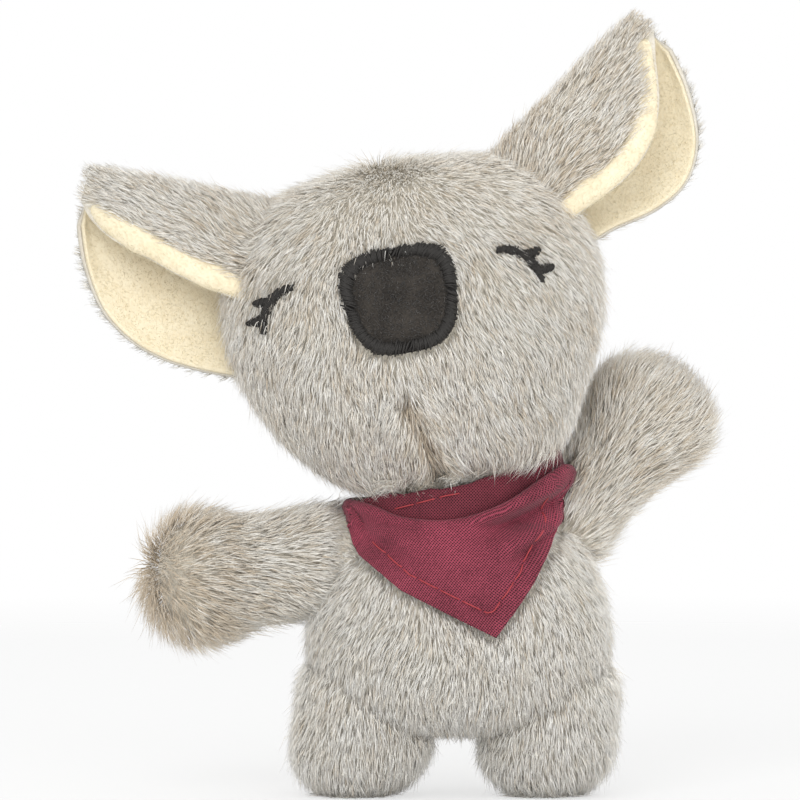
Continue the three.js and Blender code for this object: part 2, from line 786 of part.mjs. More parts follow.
// Ears, cut to their seat along the range of their fold
function earPieces(name, hand) {
  const frame = earFrame(name, hand);
  const width = earWidths[name] * earSpreadShares[name][2];
  const hinge = pointOf(0, width / 2, -hand * width * 0.12).applyMatrix4(frame);
  const axis = pointOf(0, 1, 0).transformDirection(frame);
  const grown = headForm(seatGap + seatSlack);
  const clear = (layer) =>
    stepsBetween(earFoldAngles, 5).reduce((rest, fold) => {
      const swing = swingAbout(hinge, axis, fold);
      return rest.subtract(solidOf(grown, swing.multiply(headFrame)));
    }, layer);
  const half = seatGap / 2;
  const roll = solidOf(earRoll(name, hand, 0), frame);
  const rollRoom = solidOf(earRoll(name, hand, seatGap + seatSlack), frame);
  const leaf = solidOf(earLayer(name, hand, half, half + earOuterWall), frame);
  const fleeceLeaf = solidOf(earLayer(name, hand, -half, -half - earLiningWall), frame);
  return {
    outer: clear(leaf.subtract(rollRoom)),
    lining: clear(fleeceLeaf.add(roll)),
    frame,
    hinge,
    axis,
  };
}

// Neckerchief: a layer over the chest and shoulders below the path of the head
const clothLayer = solidOf(torsoForm(seatGap + clothWall))
  .subtract(solidOf(dishForm(seatGap)))
  .subtract(solidOf(torsoForm(seatGap)).subtract(solidOf(dishForm(seatGap + clothWall))));
const hingeGapShare = seatGap / clothDrop;
const wrapFrontShares = [
  [-1.05, -0.7],
  [-1.05, 0.24],
  [-0.95, flapHingeShare - hingeGapShare],
  [0.85, flapHingeShare - hingeGapShare],
  [0.94, 0.19],
  [1.02, -0.04],
  [1.02, -0.7],
];
const wrapBackShares = [
  [-1.05, -0.7],
  [-1.05, 0.2],
  [1.02, 0.2],
  [1.02, -0.7],
];
const flapShares = [
  [-0.95, flapHingeShare],
  [-0.8, 0.49],
  [-0.54, 0.68],
  [-0.1, 0.86],
  [0.35, 1],
  [0.53, 0.8],
  [0.7, 0.6],
  [0.85, flapHingeShare],
];
const wrapFront = solidOf(clothPrism(wrapFrontShares, -farLength, clothWall));
const wrapBack = solidOf(clothPrism(wrapBackShares, 0, farLength));
const neckerchiefWrap = clearOfLimbs(
  clothLayer.intersect(wrapFront.add(wrapBack)).subtract(neckSocket),
);
const flapHinge = pointOf(0, -torsoHalfDepth * 0.93, neckPivot.z - flapHingeShare * clothDrop);
const flapWhole = clearOfLimbs(clothLayer.intersect(solidOf(clothPrism(flapShares, -farLength, 0))));
const flapClear = stepsBetween([0, flapLiftAngle], 5).reduce(
  (rest, lift) => rest.subtract(solidOf(torsoForm(seatGap), swingAbout(flapHinge, across, lift))),
  flapWhole,
);

// The finished group, with the middle of its base at the origin
const fur = "#bdb3a4";
const fleece = "#ead9b4";
const felt = "#3f3a34";
const thread = "#2b2825";
const cloth = "#874050";
const fibre = "#eceae4";
const group = new THREE.Group();
group.name = "plush_koala";

function addPiece(name, solid, colour, roughness, frame) {
  const mesh = meshOf(name, solid, colour, roughness, frame);
  group.add(mesh);
  return mesh;
}

addPiece("torso_cover", torsoCover, fur, 0.95);
addPiece("torso_filling", torsoFilling, fibre, 1);
addPiece("neck_filling", neckBall, fibre, 1);
addPiece("head_cover", headCover, fur, 0.95, headFrame);
addPiece("head_filling", headFilling, fibre, 1, headFrame);
addPiece("nose_patch", solidOf(noseSurface(), headFrame), felt, 0.95, headFrame);
addPiece("nose_border", solidOf(noseBorderSurface(), headFrame), thread, 0.6, headFrame);
addPiece("neckerchief_wrap", neckerchiefWrap, cloth, 0.85);
addPiece("neckerchief_flap", flapClear, cloth, 0.85);

export const placesOfJoints = { neck: neckPivot.clone(), flap: flapHinge.clone() };

for (const name of limbNames) {
  const hand = name === "left" ? 1 : -1;
  const [armCover, armFilling] = armPieces(name);
  const [legCover, legFilling] = legPieces(name);
  const ear = earPieces(name, hand);
  addPiece(`arm_${name}_cover`, armCover, fur, 0.95, armFrame(name));
  addPiece(`arm_${name}_filling`, armFilling, fibre, 1, armFrame(name));
  addPiece(`leg_${name}_cover`, legCover, fur, 0.95);
  addPiece(`leg_${name}_filling`, legFilling, fibre, 1);
  addPiece(`ear_${name}_outer`, ear.outer, fur, 0.95, ear.frame);
  addPiece(`ear_${name}_lining`, ear.lining, fleece, 0.9, ear.frame);
  addPiece(`eye_${name}`, eyeSolid(hand), thread, 0.5, headFrame);
  placesOfJoints[`shoulder_${name}`] = shoulderOf(name);
  placesOfJoints[`hip_${name}`] = hipOf(name);
  placesOfJoints[`ear_${name}`] = ear.hinge;
  placesOfJoints[`ear_${name}_axis`] = ear.axis;
}

const bounds = new THREE.Box3();
group.updateMatrixWorld(true);
group.children.forEach((mesh) => bounds.expandByObject(mesh, true));
const shift = pointOf(-(bounds.min.x + bounds.max.x) / 2, -(bounds.min.y + bounds.max.y) / 2, -bounds.min.z);
group.children.forEach((mesh) => mesh.position.add(shift));
for (const [name, place] of Object.entries(placesOfJoints)) {
  if (!name.endsWith("_axis")) {
    place.add(shift);
  }
}

export default group;
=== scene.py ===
"""Dressed model of a plush koala: a stuffed furry body, lined ears, a felt nose and a woven neckerchief."""

import logging
import math
from dataclasses import dataclass, field
from enum import Enum
from typing import Callable, Optional, Protocol, Sequence

import bpy
import numpy as np
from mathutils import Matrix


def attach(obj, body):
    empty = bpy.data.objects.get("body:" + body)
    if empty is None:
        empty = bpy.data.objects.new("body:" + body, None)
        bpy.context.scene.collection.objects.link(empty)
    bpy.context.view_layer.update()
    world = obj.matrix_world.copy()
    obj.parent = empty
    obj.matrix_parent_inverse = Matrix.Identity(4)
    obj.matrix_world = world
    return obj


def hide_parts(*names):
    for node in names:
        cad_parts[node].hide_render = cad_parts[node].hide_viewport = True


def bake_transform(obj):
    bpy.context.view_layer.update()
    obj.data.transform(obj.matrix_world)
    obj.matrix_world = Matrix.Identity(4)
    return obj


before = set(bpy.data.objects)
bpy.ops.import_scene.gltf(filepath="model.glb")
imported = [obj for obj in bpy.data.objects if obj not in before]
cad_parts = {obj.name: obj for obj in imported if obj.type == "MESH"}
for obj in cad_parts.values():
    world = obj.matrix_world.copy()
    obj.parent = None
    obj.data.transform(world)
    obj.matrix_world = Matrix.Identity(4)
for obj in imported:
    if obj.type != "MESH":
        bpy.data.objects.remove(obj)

LOG = logging.getLogger("koala")
MM = 0.001
SEED = 4127
UV_LAYER = "OFBake"
WHITE = (1.0, 1.0, 1.0)
AHEAD = np.array([0, -1.0, 0])

Points = np.ndarray
Colour = tuple[float, float, float]
Material = bpy.types.Material
Socket = bpy.types.NodeSocket


class Side(Enum):
    """The toy's own left and right."""

    LEFT = "left"
    RIGHT = "right"

    @property
    def hand(self) -> float:
        """Plus one toward the toy's left, minus one toward its right."""
        return 1.0 if self is Side.LEFT else -1.0


class Flow(Enum):
    """How the nap of a piece is combed."""

    FROM = "away from a point"
    ALONG = "along a direction"


def unit(vectors: Points) -> Points:
    """Vectors of the last axis scaled to length one."""
    size = np.linalg.norm(vectors, axis=-1, keepdims=True)
    return vectors / np.maximum(size, 1e-9)


def smooth_row(values: Sequence[float], places: np.ndarray) -> np.ndarray:
    """Catmull-Rom curve through a table.

    Args:
        values: Entries of the table, numbered from zero.
        places: Fractional entry numbers.

    Returns:
        Values of the cubic that passes through each entry with the slope of its neighbours' chord.
    """
    table = np.asarray(values, float)
    places = np.clip(places, 0, len(table) - 1)
    low = np.clip(np.floor(places).astype(int), 0, len(table) - 2)
    part = places - low
    a, b, c, d = (table[np.clip(low + k, 0, len(table) - 1)] for k in (-1, 0, 1, 2))
    bend = 2 * a - 5 * b + 4 * c - d
    twist = 3 * b - a - 3 * c + d
    return b + 0.5 * ((c - a) * part + bend * part**2 + twist * part**3)


def ripple(points: Points, pitch: float, seed: int, waves: int = 5) -> np.ndarray:
    """Smooth value from minus one to one: a mean of sine waves of about one pitch in random directions.

    Args:
        points: Places, in millimetres.
        pitch: Wavelength in millimetres.
        seed: Number that fixes the directions and phases.
        waves: Number of waves.

    Returns:
        One value for each point.
    """
    rng = np.random.default_rng(seed)
    runs = unit(rng.normal(size=(waves, 3))) * rng.uniform(0.7, 1.5, (waves, 1)) * (2 * math.pi / pitch)
    phases = rng.uniform(0, 2 * math.pi, waves)
    return np.sin(points @ runs.T + phases).mean(axis=-1) * 1.6


def bell(away: np.ndarray, reach: float) -> np.ndarray:
    """Gaussian of a distance: one at zero, and a third of that at the reach."""
    return np.exp(-((away / reach) ** 2))


def full_turn(count: int) -> np.ndarray:
    """Equal steps of angle once round."""
    return np.linspace(0, 2 * math.pi, count, endpoint=False)


def lengths_along(line: Points) -> np.ndarray:
    """Length of a line up to each of its points."""
    return np.concatenate([[0], np.cumsum(np.linalg.norm(np.diff(line, axis=0), axis=1))])


def points_at(spots: np.ndarray, line: Points) -> Points:
    """Points of a line at lengths along it."""
    lengths = lengths_along(line)
    return np.stack([np.interp(spots, lengths, column) for column in line.T], -1)


def section_ring(
    angles: np.ndarray, half_width: np.ndarray, depth: np.ndarray, power: float
) -> tuple[Points, Points]:
    """Superellipse: each coordinate is its half size times the cosine or sine raised to two over a power."""
    across, away = (np.sign(part) * np.abs(part) ** (2 / power) for part in (np.cos(angles), np.sin(angles)))
    return half_width * across, depth * away


def tube_faces(index: np.ndarray, first: int, last: int) -> tuple[np.ndarray, np.ndarray]:
    """Faces of rings of points closed on two end points.

    Args:
        index: Point numbers, rings by columns.
        first: Number of the end point before the first ring.
        last: Number of the end point after the last ring.

    Returns:
        The quads between the rings, and the triangles at both ends.
    """
    right = np.roll(index, -1, axis=1)
    quads = np.stack([index[:-1], right[:-1], right[1:], index[1:]], -1).reshape(-1, 4)
    start = np.stack([np.full_like(index[0], first), right[0], index[0]], -1)
    end = np.stack([np.full_like(index[0], last), index[-1], right[-1]], -1)
    return quads, np.concatenate([start, end])


@dataclass
class Shell:
    """A closed surface of points, quads and triangles, in millimetres."""

    points: Points
    quads: np.ndarray
    tris: np.ndarray

    @classmethod
    def from_rings(cls, rings: Points) -> "Shell":
        """Closed surface through rings of points, the first and last drawn together to one point each."""
        rows, columns = rings.shape[:2]
        ends = rings[0].mean(axis=0), rings[-1].mean(axis=0)
        points = np.concatenate([ends[0][None], rings[1:-1].reshape(-1, 3), ends[1][None]])
        index = 1 + np.arange((rows - 2) * columns).reshape(rows - 2, columns)
        return cls(points, *tube_faces(index, 0, len(points) - 1)).outward()

    @classmethod
    def from_sheets(cls, front: Points, back: Points) -> "Shell":
        """Closed sheet between two grids of points that share their rows and columns."""
        rows, columns = front.shape[:2]
        points = np.concatenate([front.reshape(-1, 3), back.reshape(-1, 3)])
        index = np.arange(rows * columns).reshape(rows, columns)
        far = index + rows * columns
        faces = [
            np.stack([index[:-1, :-1], index[:-1, 1:], index[1:, 1:], index[1:, :-1]], -1).reshape(-1, 4),
            np.stack([far[:-1, :-1], far[1:, :-1], far[1:, 1:], far[:-1, 1:]], -1).reshape(-1, 4),
        ]
        loop = np.concatenate([index[0, :-1], index[:-1, -1], index[-1, :0:-1], index[:0:-1, 0]])
        following = np.roll(loop, -1)
        faces.append(np.stack([following, loop, loop + rows * columns, following + rows * columns], -1))
        return cls(points, np.concatenate(faces), np.zeros((0, 3), int)).outward()

    def triangles(self) -> np.ndarray:
        """Corner numbers of all the faces, each quad as two triangles."""
        return np.concatenate([self.quads[:, [0, 1, 2]], self.quads[:, [0, 2, 3]], self.tris])

    def outward(self) -> "Shell":
        """The same surface with its faces turned outward, by the sign of its volume."""
        a, b, c = (self.points[self.triangles()[:, k]] for k in range(3))
        if np.einsum("ij,ij->", a, np.cross(b, c)) < 0:
            return Shell(self.points, self.quads[:, ::-1], self.tris[:, ::-1])
        return self

    def area_vectors(self) -> tuple[np.ndarray, Points]:
        """Corner numbers of the triangles, and the outward direction of each, as long as twice its area."""
        corners = self.triangles()
        a, b, c = (self.points[corners[:, k]] for k in range(3))
        return corners, np.cross(b - a, c - a)

    def normals(self) -> Points:
        """Outward direction at each point, the sum of its triangles' area vectors."""
        corners, vectors = self.area_vectors()
        total = np.zeros_like(self.points)
        for k in range(3):
            np.add.at(total, corners[:, k], vectors)
        return unit(total)

    def scatter(self, spacing: float, rng: np.random.Generator) -> tuple[Points, Points]:
        """Random places on the surface.

        Args:
            spacing: Mean distance between places, in millimetres.
            rng: Source of random numbers.

        Returns:
            Places and the outward directions there.
        """
        corners, vectors = self.area_vectors()
        area = np.linalg.norm(vectors, axis=1) / 2
        count = int(area.sum() / spacing**2)
        pick = rng.choice(len(corners), count, p=area / area.sum())
        u, v = rng.random((2, count))
        over = u + v > 1
        u[over], v[over] = 1 - u[over], 1 - v[over]
        weights = np.stack([1 - u - v, u, v], -1)[..., None]
        normals = self.normals()[corners[pick]]
        return (self.points[corners[pick]] * weights).sum(1), unit((normals * weights).sum(1))


def make_piece(name: str, shell: Shell, finish: Material, uv: Optional[Points] = None) -> bpy.types.Object:
    """Mesh object of a shell, its place in its mesh.

    Args:
        name: Name of the piece.
        shell: Surface in millimetres.
        finish: Material of the piece.
        uv: Pattern place of each point, or None.

    Returns:
        The new object.
    """
    mesh = bpy.data.meshes.new(name)
    loops = np.concatenate([shell.quads.ravel(), shell.tris.ravel()]).astype(np.int32)
    sizes = np.concatenate([np.full(len(shell.quads), 4), np.full(len(shell.tris), 3)])
    starts = np.concatenate([[0], np.cumsum(sizes)[:-1]]).astype(np.int32)
    mesh.vertices.add(len(shell.points))
    mesh.vertices.foreach_set("co", (shell.points * MM).astype(np.float32).ravel())
    mesh.loops.add(len(loops))
    mesh.loops.foreach_set("vertex_index", loops)
    mesh.polygons.add(len(sizes))
    mesh.polygons.foreach_set("loop_start", starts)
    mesh.update(calc_edges=True)
    mesh.polygons.foreach_set("use_smooth", np.ones(len(sizes), bool))
    if uv is not None:
        layer = mesh.uv_layers.new(name=UV_LAYER)
        layer.data.foreach_set("uv", uv[loops].astype(np.float32).ravel())
    mesh.validate()
    mesh.materials.append(finish)
    piece = bpy.data.objects.new(name, mesh)
    bpy.context.scene.collection.objects.link(piece)
    LOG.info("%s: %d faces", name, len(sizes))
    return piece


def settle(piece: bpy.types.Object, slot: str, body: str = "", nodes: Sequence[str] = ()) -> None:
    """Sets a piece on the body that it rides on, and hides the CAD solids that it replaces."""
    if body:
        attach(piece, body)
    if nodes:
        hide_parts(*nodes)


def joined(shells: Sequence[Shell]) -> Shell:
    """One shell of several, side by side."""
    starts = np.cumsum([0] + [len(shell.points) for shell in shells[:-1]])
    return Shell(
        np.concatenate([shell.points for shell in shells]),
        np.concatenate([shell.quads + start for shell, start in zip(shells, starts)]),
        np.concatenate([shell.tris + start for shell, start in zip(shells, starts)]),
    )


class NodeBoard:
    """Lays out the nodes of one material or group."""

    def __init__(self, tree: bpy.types.NodeTree) -> None:
        """Keeps the tree and starts at its left."""
        self.tree = tree
        self.count = 0

    def add(self, kind: str, **settings: object) -> bpy.types.Node:
        """New node with its properties and its unlinked inputs set.

        Args:
            kind: Blender's type name of the node.
            settings: Properties, or inputs by name with underscores for spaces.

        Returns:
            The node.
        """
        node = self.tree.nodes.new(kind)
        node.location = (220 * (self.count % 8), -260 * (self.count // 8))
        self.count += 1
        return self.adjust(node, **settings)

    @staticmethod
    def adjust(node: bpy.types.Node, **settings: object) -> bpy.types.Node:
        """Sets a node's properties, or its inputs by name with underscores for spaces."""
        for key, value in settings.items():
            if hasattr(node, key):
                setattr(node, key, value)
            else:
                node.inputs[key.replace("_", " ")].default_value = value
        return node

    def link(self, source: Socket, target: Socket) -> None:
        """Joins an output to an input."""
        self.tree.links.new(source, target)

    def through(self, kind: str, source: Socket, entry: str, leave: str, **settings: object) -> Socket:
        """New node with one input linked.

        Args:
            kind: Blender's type name of the node.
            source: What feeds it.
            entry: Name of the linked input.
            leave: Name of the output.
            settings: As those of add.

        Returns:
            The output.
        """
        node = self.add(kind, **settings)
        self.link(source, node.inputs[entry])
        return node.outputs[leave]

    def calculate(self, operation: str, *values: Socket | float) -> Socket:
        """Result of an operation on sockets or numbers."""
        node = self.add("ShaderNodeMath", operation=operation)
        for target, value in zip(node.inputs, values):
            if isinstance(value, Socket):
                self.link(value, target)
            else:
                target.default_value = value
        return node.outputs[0]

    def pattern(self, turn: float = 0.0) -> Socket:
        """The piece's own map, turned by an angle."""
        place = self.add("ShaderNodeUVMap", uv_map=UV_LAYER).outputs["UV"]
        if turn:
            return self.through("ShaderNodeMapping", place, "Vector", "Vector", Rotation=(0, 0, turn))
        return place

    def split(self, source: Socket) -> tuple[Socket, Socket]:
        """The first two parts of a vector."""
        node = self.add("ShaderNodeSeparateXYZ")
        self.link(source, node.inputs["Vector"])
        return node.outputs["X"], node.outputs["Y"]

    def ramp(self, source: Socket, stops: Sequence[tuple[float, Colour]]) -> Socket:
        """Colour ramp over a value.

        Args:
            source: The value.
            stops: Positions and linear colours.

        Returns:
            The ramp's colour output.
        """
        node = self.add("ShaderNodeValToRGB")
        ramp = node.color_ramp
        while len(ramp.elements) < len(stops):
            ramp.elements.new(0.5)
        for element, (place, colour) in zip(ramp.elements, stops):
            element.position = place
            element.color = (*colour, 1)
        self.link(source, node.inputs["Fac"])
        return node.outputs["Color"]

    def mix(self, kind: str, share: float, a: Socket, b: Socket) -> Socket:
        """Mix of two colours by a blend kind and a share."""
        node = self.add("ShaderNodeMix", data_type="RGBA", blend_type=kind)
        node.inputs["Factor"].default_value = share
        self.link(a, node.inputs[6])
        self.link(b, node.inputs[7])
        return node.outputs[2]

    def shaders(self, share: Socket, a: Socket, b: Socket) -> Socket:
        """Mix of two shaders by a share."""
        node = self.add("ShaderNodeMixShader")
        for source, target in zip((share, a, b), node.inputs):
            self.link(source, target)
        return node.outputs["Shader"]

    def paint(self, shader: bpy.types.Node, colour: Socket, **settings: float) -> None:
        """Sets a shader's colour and plain inputs."""
        self.link(colour, shader.inputs["Base Color"])
        self.adjust(shader, **settings)

    def emboss(self, shader: bpy.types.Node, height: Socket, strength: float, depth: float) -> None:
        """Feeds a shader's normal with the relief of a height, its depth in metres."""
        normal = self.through("ShaderNodeBump", height, "Height", "Normal", Strength=strength, Distance=depth)
        self.link(normal, shader.inputs["Normal"])


def mottle_group() -> bpy.types.NodeTree:
    """Shared effect: soft mottling of cloth fibres at two sizes, as a value and a height."""
    name = "fibre mottle"
    if name in bpy.data.node_groups:
        return bpy.data.node_groups[name]
    tree = bpy.data.node_groups.new(name, "ShaderNodeTree")
    face = tree.interface
    face.new_socket("Place", in_out="INPUT", socket_type="NodeSocketVector")
    for label, value in (("Fine scale", 2500.0), ("Broad scale", 260.0), ("Broad share", 0.45)):
        socket = face.new_socket(label, in_out="INPUT", socket_type="NodeSocketFloat")
        socket.default_value = value
    face.new_socket("Value", in_out="OUTPUT", socket_type="NodeSocketFloat")
    board = NodeBoard(tree)
    entry, leave = board.add("NodeGroupInput"), board.add("NodeGroupOutput")
    fine = board.add("ShaderNodeTexNoise", Detail=2.0)
    broad = board.add("ShaderNodeTexNoise", Detail=2.0)
    for node, label in ((fine, "Fine scale"), (broad, "Broad scale")):
        board.link(entry.outputs["Place"], node.inputs["Vector"])
        board.link(entry.outputs[label], node.inputs["Scale"])
    blend = board.add("ShaderNodeMix", data_type="FLOAT")
    board.link(entry.outputs["Broad share"], blend.inputs[0])
    board.link(fine.outputs["Fac"], blend.inputs[2])
    board.link(broad.outputs["Fac"], blend.inputs[3])
    board.link(blend.outputs[0], leave.inputs["Value"])
    return tree


def mottled(board: NodeBoard, fine: float, broad: float) -> Socket:
    """The shared mottling on a piece's own coordinates, at two scales."""
    place = board.add("ShaderNodeTexCoord").outputs["Object"]
    group = board.add("ShaderNodeGroup", node_tree=mottle_group(), Fine_scale=fine, Broad_scale=broad)
    board.link(place, group.inputs["Place"])
    return group.outputs["Value"]


@dataclass(frozen=True)
class Finish:
    """A look, made into a material when it is first asked for."""

    name: str

    def material(self) -> Material:
        """The material of this name."""
        if self.name in bpy.data.materials:
            return bpy.data.materials[self.name]
        material = bpy.data.materials.new(self.name)
        material.use_nodes = True
        self.wire(NodeBoard(material.node_tree), material.node_tree.nodes["Principled BSDF"])
        return material

    def wire(self, board: NodeBoard, shader: bpy.types.Node) -> None:
        """Feeds the shader, each kind of finish in its own way."""
        raise NotImplementedError


@dataclass(frozen=True)
class PileFinish(Finish):
    """Colour of the single hairs of a pile, by tone and from root to tip."""

    dark: Colour
    middle: Colour
    light: Colour
    root_shade: float
    roughness: float = 0.7
    specular: float = 0.3
    sheen: float = 0.15

    def wire(self, board: NodeBoard, shader: bpy.types.Node) -> None:
        """Tone runs across the hair's own map and its length runs up it."""
        across, up = board.split(board.pattern())
        tone = board.ramp(across, [(0.0, self.dark), (0.5, self.middle), (1.0, self.light)])
        # Painted shade: each hair darkens toward its root, by root_shade, as if deep in the pile where shade
        # falls.
        length = board.ramp(up, [(0.0, (self.root_shade,) * 3), (0.62, WHITE), (1.0, WHITE)])
        board.paint(
            shader, board.mix("MULTIPLY", 1.0, tone, length), Roughness=self.roughness,
            Specular_IOR_Level=self.specular, Sheen_Weight=self.sheen,
        )


@dataclass(frozen=True)
class BackingFinish(Finish):
    """Mottled fabric or felt with a fibrous relief."""

    dark: Colour
    light: Colour
    fine: float = 2500.0
    broad: float = 260.0
    relief: float = 0.4
    roughness: float = 0.95
    sheen: float = 0.2

    def wire(self, board: NodeBoard, shader: bpy.types.Node) -> None:
        """Mottling on the piece's own coordinates feeds the colour and the relief."""
        mottle = mottled(board, self.fine, self.broad)
        colour = board.ramp(mottle, [(0.35, self.dark), (0.65, self.light)])
        board.paint(shader, colour, Roughness=self.roughness, Specular_IOR_Level=0.2, Sheen_Weight=self.sheen)
        board.emboss(shader, mottle, self.relief, 0.0004)


@dataclass(frozen=True)
class ThreadFinish(Finish):
    """Embroidery thread: fine twist lines across each stitch, by its own map, painted as light and shade on
    the plies.
    """

    dark: Colour
    light: Colour
    turns: float = 14.0
    roughness: float = 0.45

    def wire(self, board: NodeBoard, shader: bpy.types.Node) -> None:
        """A slanted wave on the stitch's map gives the twist of its plies, as a relief and as painted light
        and shade on each ply.
        """
        place = board.pattern(turn=0.6)
        wave = board.through("ShaderNodeTexWave", place, "Vector", "Fac", Scale=self.turns, Distortion=0.6)
        # Painted light and shade: each ply lighter on its crest and darker between the plies.
        colour = board.ramp(wave, [(0.2, self.dark), (0.8, self.light)])
        board.paint(shader, colour, Roughness=self.roughness, Specular_IOR_Level=0.3)
        board.emboss(shader, wave, 0.3, 0.0001)


@dataclass(frozen=True)
class WeaveFinish(Finish):
    """Plain weave: warp and weft as crossed sine ridges, with painted shade in the holes between them."""

    dark: Colour
    light: Colour
    pitch: float = 0.37
    span: float = 120.0
    roughness: float = 0.8
    gap_shade: tuple = ((0.62, (0.04, 0.03, 0.05)), (0.85, (0.55, 0.52, 0.53)), (1.0, WHITE))

    def wire(self, board: NodeBoard, shader: bpy.types.Node) -> None:
        """The height is the greater of two ridges, each a sine across one thread."""
        ridges = []
        for place in board.split(board.pattern(turn=math.radians(45))):
            turns = board.calculate("MULTIPLY", place, math.pi * self.span / self.pitch)
            ridges.append(board.calculate("ABSOLUTE", board.calculate("SINE", turns)))
        height = board.calculate("MAXIMUM", *ridges)
        threads = board.ramp(mottled(board, 3200.0, 120.0), [(0.3, self.dark), (0.7, self.light)])
        # Painted shade: the holes and the threads' sides are darkened by height, the crests keep the threads'
        # full colour.
        colour = board.mix("MULTIPLY", 1.0, threads, board.ramp(height, self.gap_shade))
        board.paint(shader, colour, Roughness=self.roughness, Specular_IOR_Level=0.25, Sheen_Weight=0.1)
        board.emboss(shader, height, 0.5, 0.0002)


FUR = PileFinish(
    "grey fur", (0.67, 0.56, 0.42), (0.955, 0.92, 0.845), (0.995, 0.985, 0.95), 0.88, roughness=0.55,
    specular=0.22,
)
FLEECE = PileFinish(
    "cream nap", (0.58, 0.47, 0.285), (0.865, 0.795, 0.6), (0.9, 0.845, 0.67), 0.98, specular=0.05, sheen=0.0
)
FUZZ = PileFinish("felt fuzz", (0.012, 0.011, 0.01), (0.035, 0.031, 0.027), (0.12, 0.11, 0.1), 0.8)
# Painted shade: the skin under the fur is darker than the hairs' own colour, so that where it shows it
# matches the shaded depth of the pile.
FUR_BACKING = BackingFinish("fur backing", (0.58, 0.53, 0.44), (0.74, 0.7, 0.61))
FLEECE_BACKING = BackingFinish("fleece backing", (0.8, 0.7, 0.5), (0.87, 0.79, 0.6), relief=0.15, sheen=0.0)
FELT = BackingFinish("black felt", (0.015, 0.013, 0.011), (0.05, 0.043, 0.036), fine=3200.0, relief=0.9)
THREAD = ThreadFinish("black thread", (0.003, 0.0028, 0.0026), (0.05, 0.046, 0.042), roughness=0.6)
THREAD_BED = BackingFinish(
    "thread bed", (0.006, 0.0055, 0.005), (0.018, 0.016, 0.015), fine=4200.0, relief=0.8
)
HEM_THREAD = ThreadFinish("red thread", (0.33, 0.03, 0.04), (0.52, 0.08, 0.085))
CLOTH = WeaveFinish("burgundy cloth", (0.14, 0.019, 0.034), (0.47, 0.08, 0.13))
# Painted shade: a darker copy of the burgundy cloth, for the inner turn that stands in shade behind the fold.
SHADED_CLOTH = WeaveFinish("shaded burgundy cloth", (0.13, 0.02, 0.032), (0.29, 0.05, 0.075))


@dataclass(frozen=True)
class PileStyle:
    """Length, lean and tufting of a pile, in millimetres and degrees.

    Attributes:
        rise: Angle from the fabric's normal at which a hair leaves its root.
        settle: Angle at which its tip ends.
        jitter: Spread of both angles.
        tuft: Size of a tuft, whose hairs gather by a share. Its borders wander by tuft_warp.
        stray: Spread of the hairs' headings, which also swerve from place to place.
        guard_share: Share of the hairs that stand up more and reach further.
        pressed_rise: The rise where the pile is pressed flat. The settle there is pressed_settle.
        pressed_loss: Share of the length that is lost there.
    """

    length: float = 4.3
    unevenness: float = 0.15
    width: float = 0.128
    spacing: float = 0.345
    rise: float = 53.0
    settle: float = 75.0
    jitter: float = 8.0
    tuft: float = 1.5
    tuft_warp: float = 1.3
    gather: float = 0.26
    stray: float = 14.0
    swerve: float = 14.0
    tone: float = 0.5
    tone_spread: float = 0.23
    guard_share: float = 0.07
    guard_lift: float = 14.0
    guard_reach: float = 0.15
    pressed_rise: float = 84.0
    pressed_settle: float = 88.0
    pressed_loss: float = 0.45


@dataclass
class Nap:
    """What changes from place to place in a pile.

    Attributes:
        combs: Directions the nap lies in, which need not be tangent.
        shade: Change of tone of each hair: its own tone, and in places painted light and shade.
        press: Share up to one by which each hair lies flat and short. Below zero it stands up.
        reach: Factor of each hair's length.
    """

    combs: Points
    shade: np.ndarray | float = 0.0
    press: np.ndarray | float = 0.0
    reach: np.ndarray | float = 1.0


